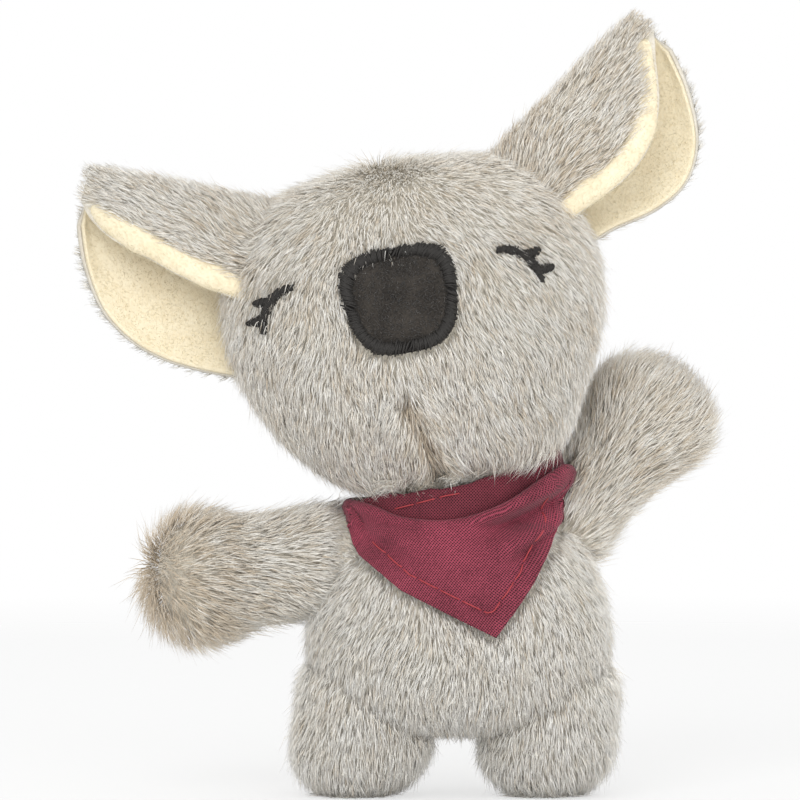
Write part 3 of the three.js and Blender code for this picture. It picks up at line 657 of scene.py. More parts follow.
@dataclass
class Pile:
    """Fur of one piece, grown as bent three-sided hairs from places on its fabric."""

    name: str
    style: PileStyle
    finish: PileFinish
    seed: int
    lowest: float = 0.15
    most: int = 33000

    def grow(self, roots: Points, normals: Points, nap: Nap) -> list[bpy.types.Object]:
        """Makes the hairs.

        Each hair leaves its root at the rise angle from the normal and bends over to the settle angle at its
        tip, which is drawn toward its tuft's mean tip. A few guard hairs stand up more and reach further.

        Args:
            roots: Places on the fabric.
            normals: Outward directions there.
            nap: What changes from place to place.

        Returns:
            The pieces of fur, from the front backward.
        """
        rng = np.random.default_rng(self.seed)
        style, count = self.style, len(roots)
        shares = (nap.press, nap.reach, nap.shade)
        press, reach, shade = (np.broadcast_to(value, (count,)) for value in shares)
        combs = nap.combs - (nap.combs * normals).sum(1, keepdims=True) * normals
        cross = np.cross(normals, unit(combs))
        stray = rng.normal(0, style.stray, count) + style.swerve * ripple(roots, 13, self.seed)
        stray = np.radians(stray)[:, None]
        combs = unit(unit(combs) * np.cos(stray) + cross * np.sin(stray))
        guard = (rng.random(count) < style.guard_share) * (1 - press)
        length = style.length * np.clip(rng.normal(1, style.unevenness, count), 0.5, 1.45)
        length = (length * (1 - style.pressed_loss * press)) * reach * (1 + style.guard_reach * guard)
        half = length[:, None] * 0.5
        levels = [roots]
        for angle, pressed in ((style.rise, style.pressed_rise), (style.settle, style.pressed_settle)):
            lean = angle - style.guard_lift * guard + rng.normal(0, style.jitter, count)
            lean = np.radians(lean + (pressed - angle) * press)[:, None]
            levels.append(levels[-1] + (normals * np.cos(lean) + combs * np.sin(lean)) * half)
        tuft, members = self._tufts(roots)
        gather = (style.gather * rng.uniform(0.4, 1.5, len(members)))[tuft][:, None]
        middles = self._gathered(levels[1], tuft, members, np.clip(gather * 0.5, 0, 0.6))
        tips = self._gathered(levels[2], tuft, members, np.clip(gather, 0, 0.9))
        spread = 0.85 * rng.normal(size=count) + 0.4 * rng.normal(size=len(members))[tuft]
        tone = style.tone + style.tone_spread * spread + 0.07 * ripple(roots, 9, self.seed + 1)
        tone = np.clip(tone + shade, 0.02, 0.96)
        width = style.width * rng.uniform(0.7, 1.25, count)
        hairs = [roots, middles, tips, normals, width, tone]
        pieces = []
        for label, chosen in self._bands(roots[:, 1]):
            shell, uv = self._hairs(*(values[chosen] for values in hairs))
            pieces.append(make_piece(self.name + label, shell, self.finish.material(), uv))
        return pieces

    def _gathered(self, points: Points, tuft: np.ndarray, members: np.ndarray, share: np.ndarray) -> Points:
        """Points drawn by a share toward the mean of their tuft, and kept off the floor."""
        middle = np.stack([np.bincount(tuft, column) for column in points.T], -1) / members[:, None]
        points = points + (middle[tuft] - points) * share
        points[:, 2] = np.maximum(points[:, 2], self.lowest)
        return points

    def _bands(self, depth: np.ndarray) -> list[tuple[str, np.ndarray]]:
        """Splits a large pile into bands of equal count from the front backward."""
        labels = {1: ("",), 2: ("_front", "_back"), 3: ("_front", "_middle", "_back")}
        names = labels[min(3, math.ceil(len(depth) / self.most))]
        order = np.argsort(depth, kind="stable")
        return list(zip(names, np.array_split(order, len(names))))

    def _tufts(self, roots: Points) -> tuple[np.ndarray, np.ndarray]:
        """Numbers each root's tuft: the cell it falls in, of a grid warped by smooth waves."""
        warp = np.stack([ripple(roots, 5.5, self.seed + 7 + k) for k in range(3)], -1)
        cells = np.floor((roots + warp * self.style.tuft_warp) / self.style.tuft).astype(int)
        cells = cells - cells.min(axis=0)
        size = cells.max(axis=0) + 1
        key = (cells[:, 0] * size[1] + cells[:, 1]) * size[2] + cells[:, 2]
        _, tuft, members = np.unique(key, return_inverse=True, return_counts=True)
        return tuft.ravel(), members

    def _hairs(
        self, roots: Points, middles: Points, tips: Points, normals: Points, width: Points, tone: Points
    ) -> tuple[Shell, Points]:
        """A point at root and tip and a triangle between them, mapped by tone across and length up."""
        count = len(roots)
        run = unit(tips - roots)
        side = unit(np.cross(run, normals))
        ridge = unit(np.cross(side, run))
        size = width[:, None]
        waist = [middles + side * size * 0.5, middles + ridge * size * 0.42, middles - side * size * 0.5]
        points = np.stack([roots, *waist, tips], 1).reshape(-1, 3)
        faces = np.array([[0, 2, 1], [0, 3, 2], [0, 1, 3], [1, 2, 4], [2, 3, 4], [3, 1, 4]])
        tris = ((np.arange(count) * 5)[:, None, None] + faces).reshape(-1, 3)
        across = np.array([0.012, 0.0, 0.012, 0.024, 0.012])
        along = np.array([0.03, 0.5, 0.515, 0.53, 0.97])
        uv = np.stack([tone[:, None] + across, np.broadcast_to(along, (count, 5))], -1).reshape(-1, 2)
        return Shell(points, np.zeros((0, 4), int), tris).outward(), uv


def combed(kind: Flow, places: Points, anchor: Sequence[float]) -> Points:
    """Directions of a nap.

    Args:
        kind: How the nap runs.
        places: Roots in millimetres.
        anchor: The point, or the direction, that it runs from or along.

    Returns:
        One direction for each root.
    """
    anchor = np.asarray(anchor, float)
    if kind is Flow.FROM:
        return unit(places - anchor)
    return np.broadcast_to(unit(anchor), places.shape).copy()


@dataclass(frozen=True)
class SectionForm:
    """A stuffed form of rounded level sections whose sizes follow shares of its height."""

    half_width: float
    height: float
    bottom: float
    power: float
    levels: tuple
    widths: tuple

    def share(self, level: np.ndarray, growth: float = 0.0) -> np.ndarray:
        """Share of the height, of the form grown by a distance, that a level lies at."""
        return (level - self.bottom + growth) / (self.height + 2 * growth)

    def cover(self, share: np.ndarray) -> np.ndarray:
        """Share of the greatest width at a share of the height."""
        return np.interp(share, self.levels, self.widths)

    def holds(self, places: Points, share: np.ndarray, width: np.ndarray, depth: np.ndarray) -> np.ndarray:
        """True where a place from the middle line lies within the section of its level."""
        filled = (np.abs(places[:, 0]) / width) ** self.power + (np.abs(places[:, 1]) / depth) ** self.power
        return (share > 0) & (share < 1) & (filled < 1)

    def rings(
        self, turn: np.ndarray, angles: np.ndarray, depth: Points, growth: float, steepness: float
    ) -> Points:
        """Sections of the form grown by a distance.

        Args:
            turn: Fractional entry number of the tables for each ring.
            angles: Angle of each column.
            depth: Half depth, rings by columns or by one.
            growth: The distance, less toward both ends.
            steepness: How quickly the growth is reached from an end.

        Returns:
            Rings of points about the middle line.
        """
        level = np.clip(smooth_row(self.levels, turn), 0, 1) * (self.height + 2 * growth)
        level = level + self.bottom - growth
        cover = np.clip(smooth_row(self.widths, turn), 0, 2)
        more = (growth * np.minimum(1, cover * steepness))[:, None]
        width = (cover * self.half_width)[:, None] + more
        across, away = section_ring(angles, width, depth + more, self.power)
        return np.stack([across, away, np.broadcast_to(level[:, None], across.shape)], -1)


@dataclass(frozen=True)
class HeadForm(SectionForm):
    """The stuffed head, with the chin's dart and jowl."""

    half_width: float = 31.4
    height: float = 54.0
    bottom: float = -28.62
    power: float = 2.25
    levels: tuple = (0, 0.012, 0.045, 0.11, 0.2, 0.31, 0.43, 0.55, 0.66, 0.76, 0.85, 0.92, 0.965, 0.99, 1)
    widths: tuple = (0, 0.27, 0.485, 0.655, 0.785, 0.89, 0.965, 1, 0.99, 0.945, 0.865, 0.75, 0.59, 0.36, 0)
    depths: tuple = (0, 0.29, 0.52, 0.7, 0.83, 0.93, 0.99, 1, 0.965, 0.895, 0.785, 0.65, 0.48, 0.27, 0)
    front_depth: float = 24.5
    back_depth: float = 22.5
    roll: float = math.radians(10.5)
    centre: tuple[float, float, float] = (2.713, 1.644, 79.569)
    creases: tuple = (
        ((-3.6, -13.1), (-1.0, -23.5), 3.6, 1.3),
        ((-1.0, -23.8), (-11.5, -27.0), 1.8, 1.3),
        ((-1.0, -23.8), (11.2, -24.8), 1.3, 1.2),
    )
    jowl: float = 2.6
    jowl_place: tuple[float, float] = (14.0, -22.5)
    jowl_reach: tuple[float, float] = (8.5, 6.5)

    def placed(self, points: Points) -> Points:
        """Points of the head's own axes, rolled and moved to its place on the neck."""
        right = np.array([math.cos(self.roll), 0, math.sin(self.roll)])
        rise = np.array([-math.sin(self.roll), 0, math.cos(self.roll)])
        ahead = np.array([0, 1.0, 0])
        turned = points[..., :1] * right + points[..., 1:2] * ahead + points[..., 2:] * rise
        return turned + np.array(self.centre)

    def own(self, points: Points) -> Points:
        """The inverse of placed."""
        away = points - np.array(self.centre)
        cosine, sine = math.cos(self.roll), math.sin(self.roll)
        side = away[..., 0] * cosine + away[..., 2] * sine
        rise = -away[..., 0] * sine + away[..., 2] * cosine
        return np.stack([side, away[..., 1], rise], -1)

    def dent(self, points: Points) -> np.ndarray:
        """Depth of the sewn dart and of the crease at the chin: Gaussians across lines on the face."""
        depth = np.zeros(points.shape[:-1])
        for start, end, deep, wide in self.creases:
            flat = points[..., [0, 2]] - np.array(start)
            run = np.array(end) - np.array(start)
            share = np.clip((flat @ run) / (run @ run), -0.1, 1.1)
            gap = np.linalg.norm(flat - share[..., None] * run, axis=-1)
            depth = np.maximum(depth, deep * bell(gap, wide))
        return depth * (points[..., 1] < 0)

    def shell(self, growth: float, rows: int = 72, columns: int = 96) -> Shell:
        """Closed skin of superelliptic sections, grown or shrunk, with the chin's dart and jowl."""
        turn = (1 - np.cos(np.linspace(0, math.pi, rows))) / 2 * (len(self.levels) - 1)
        turn = np.linspace(0, len(self.levels) - 1, rows) * 0.5 + turn * 0.5
        angles = full_turn(columns)
        reach = np.where(np.sin(angles) < 0, self.front_depth, self.back_depth)
        depth = np.clip(smooth_row(self.depths, turn), 0, 2)[:, None] * reach
        rings = self.rings(turn, angles, depth, growth, 6)
        rings[..., 1] += self.dent(rings)
        away = (rings[..., [0, 2]] - np.array(self.jowl_place)) / np.array(self.jowl_reach)
        push = self.jowl * np.exp(-(away**2).sum(-1))
        rings[..., 0] += push * 0.4
        rings[..., 2] -= push * 0.92
        return Shell.from_rings(self.placed(rings))

    def radii(self, level: np.ndarray) -> tuple[np.ndarray, np.ndarray]:
        """Half width and front depth at heights above the head's centre."""
        share = np.clip(self.share(level), 0, 1)
        depth = np.interp(share, self.levels, self.depths)
        return self.cover(share) * self.half_width, depth * self.front_depth

    def front(self, side: np.ndarray, level: np.ndarray) -> np.ndarray:
        """Depth of the face at places in front view."""
        width, depth = self.radii(level)
        ratio = np.minimum(0.999, np.abs(side) / np.maximum(width, 1e-6))
        return -depth * (1 - ratio**self.power) ** (1 / self.power)

    def skin(self, side: np.ndarray, level: np.ndarray, lift: np.ndarray) -> Points:
        """Points raised off the face along its slope.

        Args:
            side: Places across the face, on the head's own axes.
            level: Heights on the face.
            lift: Distances off the face.

        Returns:
            Points in the model's place.
        """
        step = self.half_width / 30
        slope_x = (self.front(side + step, level) - self.front(side - step, level)) / (2 * step)
        slope_z = (self.front(side, level + step) - self.front(side, level - step)) / (2 * step)
        normal = unit(np.stack([slope_x, -np.ones_like(slope_x), slope_z], -1))
        point = np.stack([side, self.front(side, level), level], -1)
        return self.placed(point + normal * np.asarray(lift)[..., None])

    def outward(self, side: np.ndarray, level: np.ndarray) -> Points:
        """Directions off the face."""
        return unit(self.skin(side, level, 2.0) - self.skin(side, level, 0.0))

    def inside(self, points: Points, growth: float) -> np.ndarray:
        """True where a point lies within the head grown by a distance."""
        own = self.own(points)
        share = self.share(own[:, 2], growth)
        reach = np.where(own[:, 1] < 0, self.front_depth, self.back_depth)
        depth = np.interp(share, self.levels, self.depths) * reach + growth
        return self.holds(own, share, self.cover(share) * self.half_width + growth, depth)


@dataclass(frozen=True)
class TorsoForm(SectionForm):
    """The stuffed body, widest at the belly."""

    half_width: float = 24.9
    height: float = 40.6
    bottom: float = 10.4
    power: float = 2.1
    levels: tuple = (0, 0.015, 0.06, 0.14, 0.24, 0.35, 0.49, 0.62, 0.74, 0.84, 0.92, 0.97, 1)
    widths: tuple = (0, 0.5, 0.76, 0.91, 0.98, 1, 0.985, 0.935, 0.855, 0.75, 0.6, 0.4, 0)
    half_depth: float = 16.6
    centre: tuple[float, float] = (10.003, 1.644)
    shoulder: float = 46.2
    flattening: float = 0.4

    def shell(self, growth: float, rows: int = 64, columns: int = 96) -> Shell:
        """Closed skin of superelliptic sections, flattened at the top below the head."""
        turn = np.linspace(0, len(self.levels) - 1, rows)
        depth = (np.clip(smooth_row(self.widths, turn), 0, 2) * self.half_depth)[:, None]
        rings = self.rings(turn, full_turn(columns), depth, growth, 4)
        above = rings[..., 2] - self.shoulder
        rings[..., 2] = np.where(above > 0, self.shoulder + above * self.flattening, rings[..., 2])
        return Shell.from_rings(rings + np.array([*self.centre, 0]))

    def ring(self, angles: np.ndarray, level: np.ndarray, growth: float | np.ndarray) -> Points:
        """Points on the body at angles round it and heights, raised by a distance."""
        cover = self.cover(np.clip(self.share(level), 0, 1))
        width, depth = (cover * size + growth for size in (self.half_width, self.half_depth))
        across, away = section_ring(angles, width, depth, self.power)
        return np.stack([across + self.centre[0], away + self.centre[1], level], -1)

    def inside(self, points: Points, growth: float) -> np.ndarray:
        """True where a point lies within the body grown by a distance."""
        share = self.share(points[:, 2], growth)
        width, depth = (self.cover(share) * size + growth for size in (self.half_width, self.half_depth))
        return self.holds(points[:, :2] - np.array(self.centre), share, width, depth)


HEAD = HeadForm()
TORSO = TorsoForm()
SKIN_DEPTH = 1.5


@dataclass(frozen=True)
class LimbForm:
    """A stuffed limb: a ball at its root and rounded sections along its own line.

    Attributes:
        root: Middle of the ball at its seam.
        along: Direction of its line. The directions back and across complete its own axes.
        length: Length of its line from the ball's middle.
        radius: Radius of the ball.
        flat_share: Its thickness as a share of its width.
        lean: How far its line drifts across, as a share of the way along.
        stations: Shares of the length at which the shares of the radius in widths hold.
        fur_length: Length of its hairs.
        fur_depth: How deep in the body its fur begins, so that its swing bares none of its skin.
        lowest: Height of the floor that it rests on.
    """

    root: tuple[float, float, float]
    along: tuple[float, float, float]
    back: tuple[float, float, float]
    across: tuple[float, float, float]
    length: float
    radius: float
    flat_share: float
    lean: float
    stations: tuple
    widths: tuple
    fur_length: float
    fur_depth: float
    lowest: float = 0.35

    def shell(self, growth: float, rows: int = 56, columns: int = 56) -> Shell:
        """Closed skin: a half ball, then circles whose radius follows the smoothed shares."""
        dome = np.radians(np.linspace(90, 6, 12))
        turn = np.linspace(0, len(self.stations) - 1, rows)
        share = np.clip(smooth_row(self.stations, turn), 0, 1)
        wide = np.clip(smooth_row(self.widths, turn), 0, 2)
        along = np.concatenate([-np.sin(dome) * (self.radius + growth), share * (self.length + growth)])
        radius = np.concatenate([
            np.cos(dome) * (self.radius + growth),
            wide * self.radius + growth * np.minimum(1, wide * 3),
        ])
        flat = np.concatenate([np.ones(len(dome)), 1 - (1 - self.flat_share) * np.minimum(1, 2 * share)])
        angles = full_turn(columns)
        radius[0] = 0
        wide_at = radius[:, None] * np.cos(angles) + self.lean * np.maximum(along, 0)[:, None]
        back_at = (radius * flat)[:, None] * np.sin(angles)
        parts = np.stack([np.broadcast_to(along[:, None], wide_at.shape), back_at, wide_at], -1)
        rings = parts @ np.array([self.along, self.back, self.across], float) + np.array(self.root)
        rings[..., 2] = np.maximum(rings[..., 2], self.lowest)
        return Shell.from_rings(rings)

    @property
    def tip(self) -> Points:
        """The far end of the limb's line."""
        end = np.array(self.along) * self.length + np.array(self.across) * self.lean * self.length
        return np.array(self.root) + end


def turned(angle_y: float, angle_z: float) -> tuple:
    """Axes of a frame turned about Y after a turn about Z, in degrees."""
    a, b = math.radians(angle_y), math.radians(angle_z)
    turn_y = np.array([[math.cos(a), 0, math.sin(a)], [0, 1, 0], [-math.sin(a), 0, math.cos(a)]])
    turn_z = np.array([[math.cos(b), -math.sin(b), 0], [math.sin(b), math.cos(b), 0], [0, 0, 1]])
    both = turn_y @ turn_z
    return tuple(tuple(both[:, k]) for k in range(3))


ARM_STATIONS = (0, 0.2, 0.4, 0.56, 0.7, 0.81, 0.9, 0.965, 1)
LEG_STATIONS = (0, 0.3, 0.55, 0.72, 0.85, 0.94, 0.985, 1)
LEG_WIDTHS = (1, 1, 0.98, 0.91, 0.78, 0.62, 0.5, 0)
LEG_AXES = ((0, 0, -1), (0, 1, 0), (1, 0, 0))
LIMBS = {
    "arm_left": LimbForm(
        (27.433, 4.964, 44.301), *turned(-51.5, 16), length=33.2, radius=7.7, flat_share=0.94, lean=0,
        stations=ARM_STATIONS, widths=(1, 0.95, 1, 1.16, 1.35, 1.37, 1.18, 0.78, 0),
        fur_length=5.1, fur_depth=9.5,
    ),
    "arm_right": LimbForm(
        (-8.299, 1.644, 39.632), *turned(171.8, 0), length=33.4, radius=9.1, flat_share=0.94, lean=0,
        stations=ARM_STATIONS, widths=(1, 0.99, 0.98, 1.04, 1.17, 1.17, 0.99, 0.64, 0),
        fur_length=4.8, fur_depth=6.0,
    ),
    "leg_left": LimbForm(
        (24.819, 1.644, 17), *LEG_AXES, length=17, radius=11.6, flat_share=0.95, lean=-0.03,
        stations=LEG_STATIONS, widths=LEG_WIDTHS, fur_length=4.3, fur_depth=6.5,
    ),
    "leg_right": LimbForm(
        (-4.738, 1.644, 17), *LEG_AXES, length=17, radius=11.9, flat_share=0.95, lean=-0.15,
        stations=LEG_STATIONS, widths=LEG_WIDTHS, fur_length=4.3, fur_depth=6.5,
    ),
}


class NapRule(Protocol):
    """How the fur of a stuffed part lies, and where it grows."""

    def __call__(self, points: Points) -> Nap:
        """The nap at places on the part."""

    def keep(self, points: Points) -> np.ndarray:
        """True at places where fur grows."""


@dataclass
class StuffedPiece:
    """A stuffed part: its fabric skin and the fur on it, named after the body that they ride on."""

    name: str
    form: Callable[[float], Shell]
    style: PileStyle
    rule: NapRule
    seed: int
    fill: float = 0.75

    def build(self) -> None:
        """Makes the skin and the pile, and sets them on their body."""
        shell = self.form(-SKIN_DEPTH)
        skin = make_piece(f"{self.name}_skin", shell, FUR_BACKING.material())
        solids = [f"{self.name}_cover", f"{self.name}_filling"]
        settle(skin, "fur", self.name, solids if self.name != "neck" else solids[1:])
        rng = np.random.default_rng(self.seed)
        roots, normals = shell.scatter(self.style.spacing, rng)
        kept = self.rule.keep(roots)
        roots, normals = roots[kept], normals[kept]
        pile = Pile(f"{self.name}_fur", self.style, FUR, self.seed + 11)
        for fur in pile.grow(roots, normals, self.rule(roots)):
            settle(fur, "fur", self.name)


@dataclass
class EarForm:
    """A leaf of two fabrics folded along its inner edge, the near lobe shorter than the far one.

    Attributes:
        length: Length along the fold.
        width: Size across the fold.
        rise: Angle of the fold above the head's own level, in degrees.
        side_share: Place of the fold's start, as a share of the head's half width.
        level_share: Height of the fold's start, as a share of the head's height.
        pocket_shade: Painted shade: how much darker the lining is down in the fold.
        shade: How much darker the fur is than the head's.
        spreads: Share of the width at each station.
        nears: Factor on the near lobe's reach at each station.
        stations: Shares of the length.
        across: Profile of the leaf from the near edge to the far one: shares of the width across the fold.
        depths: Shares of the width by which the profile's entries stand ahead.
        fold_entry: Entry of the profile at the fold.
    """

    side: Side
    length: float
    width: float
    rise: float
    side_share: float
    level_share: float
    pocket_shade: float
    shade: float
    spreads: tuple
    nears: tuple
    stations: tuple = (-0.26, -0.05, 0.18, 0.4, 0.6, 0.78, 0.92, 1)
    across: tuple = (0.52, 0.37, 0.21, 0.075, -0.005, 0.01, 0.1, 0.28, 0.52, 0.78, 1)
    depths: tuple = (0.36, 0.352, 0.318, 0.25, 0.15, 0.06, -0.005, -0.042, -0.055, -0.022, 0.075)
    fold_entry: int = 4

    @property
    def fold(self) -> Points:
        """Direction along the fold, on the head's own axes."""
        rise = math.radians(self.rise)
        return np.array([self.side.hand * math.cos(rise), 0, math.sin(rise)])

    def grid(self, rows: int, columns: int) -> Points:
        """The leaf's middle surface: smoothed stations along the fold by smoothed places across it."""
        along = smooth_row(self.stations, np.linspace(0, len(self.stations) - 1, rows))
        spread = smooth_row(self.spreads, np.linspace(0, len(self.spreads) - 1, rows))
        near = smooth_row(self.nears, np.linspace(0, len(self.nears) - 1, rows))
        places = np.linspace(0, len(self.across) - 1, columns)
        reach = 1 + (near[:, None] - 1) * np.clip(self.fold_entry - places, 0, 1)
        wide = spread[:, None] * smooth_row(self.across, places) * reach * self.width
        deep = np.outer(spread, smooth_row(self.depths, places)) * self.width
        rise, hand = math.radians(self.rise), self.side.hand
        leaf = np.array([hand * math.sin(rise), 0, -math.cos(rise)])
        start = self.level_share * HEAD.height + HEAD.bottom
        own = (
            np.array([hand * self.side_share * HEAD.half_width, 0, start])
            + np.broadcast_to(along[:, None], wide.shape)[..., None] * self.length * self.fold
            + wide[..., None] * leaf
            + deep[..., None] * AHEAD
        )
        return HEAD.placed(own)

    def normals(self, grid: Points) -> Points:
        """Directions toward the fur side, the cross product of the grid's slopes."""
        return unit(np.cross(np.gradient(grid, axis=0), np.gradient(grid, axis=1))) * self.side.hand

    @property
    def root(self) -> Points:
        """Middle of the ear's seam on the head."""
        return self.grid(9, 11)[1].mean(axis=0)


EARS = {
    Side.LEFT: EarForm(
        Side.LEFT, length=34, width=24.4, rise=35.5, side_share=0.545, level_share=0.923,
        pocket_shade=0.1, shade=0.12,
        spreads=(0.74, 0.78, 0.85, 0.97, 0.99, 0.85, 0.57, 0.3),
        nears=(1.5, 1.48, 1.42, 1.34, 1.24, 1.08, 0.85, 0.8),
    ),
    Side.RIGHT: EarForm(
        Side.RIGHT, length=29.9, width=27.6, rise=22.5, side_share=0.655, level_share=0.918,
        pocket_shade=0.38, shade=0.02,
        spreads=(0.96, 0.99, 1, 0.98, 0.91, 0.77, 0.54, 0.31),
        nears=(1.1, 1.08, 1, 0.93, 0.86, 0.88, 0.94, 1),
    ),
}


@dataclass
class Ear:
    """One ear: furred outer leaf, fleece lining and the lining's turned rim.

    Attributes:
        middle_wall: Distance of both layers' hidden faces from the leaf's middle surface.
        outer_wall: Distance of the fur layer's outer face from it.
        lining_wall: Distance of the lining's outer face from it.
        rim_half_width: Half width of the turned roll, which is as thick as twice rim_half_depth.
        rim_band: Width beside the near edge on which no fur grows.
        bare_edge: The same beside the far edge.
    """

    side: Side
    rows: int = 56
    columns: int = 80
    middle_wall: float = 0.1
    outer_wall: float = 0.9
    lining_wall: float = 0.8
    rim_half_width: float = 2.1
    rim_half_depth: float = 1.45
    rim_band: float = 3.3
    bare_edge: float = 1.3
    fur: PileStyle = field(default_factory=lambda: PileStyle(length=3.9, rise=62, settle=80, tuft=1.6))
    nap: PileStyle = field(
        default_factory=lambda: PileStyle(
            length=0.36, width=0.1, spacing=0.31, rise=12, settle=20, tuft=0.6, gather=0.0, stray=180,
            tone=0.5, tone_spread=0.05, guard_share=0,
        )
    )

    @property
    def name(self) -> str:
        """Name of the ear's body, with which the names of its pieces begin."""
        return f"ear_{self.side.value}"

    @property
    def seed(self) -> int:
        """First seed of the ear's naps."""
        return SEED + (71 if self.side is Side.LEFT else 83)

    def build(self) -> None:
        """Makes the leaf, the lining, the rim and their naps."""
        form = EARS[self.side]
        grid = form.grid(self.rows, self.columns)
        normals = form.normals(grid)
        outer = Shell.from_sheets(grid + normals * self.middle_wall, grid + normals * self.outer_wall)
        inner = Shell.from_sheets(grid - normals * self.middle_wall, grid - normals * self.lining_wall)
        rim = self._rim(grid[:, 0] + normals[:, 0] * self.outer_wall / 2)
        for label, shell, finish, slot, nodes in (
            ("leaf", outer, FUR_BACKING, "fur", [f"{self.name}_outer"]),
            ("fleece", inner, FLEECE_BACKING, "fleece", [f"{self.name}_lining"]),
            ("rim", rim, FLEECE_BACKING, "fleece", []),
        ):
            settle(make_piece(f"{self.name}_{label}", shell, finish.material()), slot, self.name, nodes)
        for fur in self._fur(form, grid, normals):
            settle(fur, "fur", self.name)
        for nap in self._nap(form, grid, normals, rim):
            settle(nap, "fleece", self.name)

    def _rim(self, line: Points) -> Shell:
        """Turned edge of the lining: a soft flattened roll along the near lobe's edge."""
        share = np.linspace(0, 1, len(line))
        swell = np.sqrt(np.maximum(0, 1 - np.abs(2 * share - 1) ** 6))
        swell = swell * (1 + 0.05 * np.sin(share * 23) + 0.04 * np.sin(share * 41 + 1))
        run = unit(np.gradient(line, axis=0))
        side = unit(np.cross(run, AHEAD))
        lift = unit(np.cross(side, run))
        angles = full_turn(24)
        offset = (
            side[:, None] * np.cos(angles)[None, :, None] * self.rim_half_width
            + lift[:, None] * np.sin(angles)[None, :, None] * self.rim_half_depth
        )
        inward = unit(np.cross(AHEAD, run)) * self.side.hand
        middle = (line + inward * self.rim_half_width)[:, None]
        return Shell.from_rings(middle + offset * swell[:, None, None])

    def _fur(self, form: EarForm, grid: Points, normals: Points) -> list[bpy.types.Object]:
        """Fur of the outer leaf, off the rim's band, combed toward the ear's tip and short at its edges."""
        rng = np.random.default_rng(self.seed)
        tip, base = grid[-1].mean(axis=0), form.root
        outer = Shell.from_sheets(grid + normals * 0.3, grid + normals * (self.outer_wall - 0.1))
        roots, directions = outer.scatter(self.fur.spacing, rng)
        facing = normals[::2, ::2].reshape(-1, 3)[self._nearest(roots, grid[::2, ::2])]
        near, far, end = (
            np.sqrt(((roots[:, None] - line[None]) ** 2).sum(-1)).min(axis=1)
            for line in (grid[::3, 0], grid[::3, -1], grid[-1, ::3])
        )
        band = self.rim_band * np.clip(end / 5, 0.4, 1)
        outside = ((directions * facing).sum(1) > 0.2) & ~HEAD.inside(roots, -2.5)
        outside &= (near > band) & (far > self.bare_edge)
        kept = (values[outside] for values in (roots, directions, near, far, end))
        roots, directions, near, far, end = kept
        flow = combed(Flow.FROM, roots, base) + 0.9 * combed(Flow.ALONG, roots, tip - base)
        # Painted light: hairs by the far edge, in the leaf's shadow, are lightened. Near the seam they are
        # darker, partly brownish tufts and partly painted shade; form.shade darkens the whole ear's fur.
        shade = 0.3 * bell(far, 3) - 0.14 * bell(np.linalg.norm(roots - base, axis=1), 12) - form.shade
        press = 0.45 * bell(near - self.rim_band, 1.2) + 0.4 * bell(far, 2.5)
        reach = 1 - 0.4 * bell(end, 4.5) - 0.35 * bell(far, 3.5)
        pile = Pile(f"{self.name}_fur", self.fur, FUR, self.seed + 1)
        return pile.grow(roots, directions, Nap(flow, shade, np.clip(press, 0, 1), reach))

    def _nap(self, form: EarForm, grid: Points, normals: Points, rim: Shell) -> list[bpy.types.Object]:
        """Short nap of the lining and its rim, darker down in the fold by painted shade."""
        rng = np.random.default_rng(self.seed + 5)
        inner = Shell.from_sheets(grid - normals * 0.3, grid - normals * (self.lining_wall - 0.05))
        roots, directions = inner.scatter(self.nap.spacing, rng)
        nearest = self._nearest(roots, grid[::2, ::2])
        facing = normals[::2, ::2].reshape(-1, 3)[nearest]
        outside = ((directions * facing).sum(1) < 0.1) & ~HEAD.inside(roots, -1.0)
        more, more_directions = rim.scatter(self.nap.spacing, rng)
        place = (nearest[outside] % (self.columns // 2)) * 2 / (self.columns - 1) * (len(form.across) - 1)
        # Painted shade: the lining's nap is darkened by pocket_shade from the fold out to near the far edge.
        shade = np.concatenate([-form.pocket_shade * np.clip((9.3 - place) / 1.4, 0, 1), np.full(len(more), 0.05)])
        roots = np.concatenate([roots[outside], more])
        directions = np.concatenate([directions[outside], more_directions])
        pile = Pile(f"{self.name}_nap", self.nap, FLEECE, self.seed + 2)
        return pile.grow(roots, directions, Nap(combed(Flow.FROM, roots, form.root), shade))

    @staticmethod
    def _nearest(roots: Points, grid: Points) -> np.ndarray:
        """Number of the grid point nearest each root, found in blocks of roots."""
        flat = grid.reshape(-1, 3)
        return np.concatenate([
            np.argmin(((block[:, None] - flat[None]) ** 2).sum(-1), axis=1)
            for block in np.array_split(roots, max(1, len(roots) // 700))
        ])


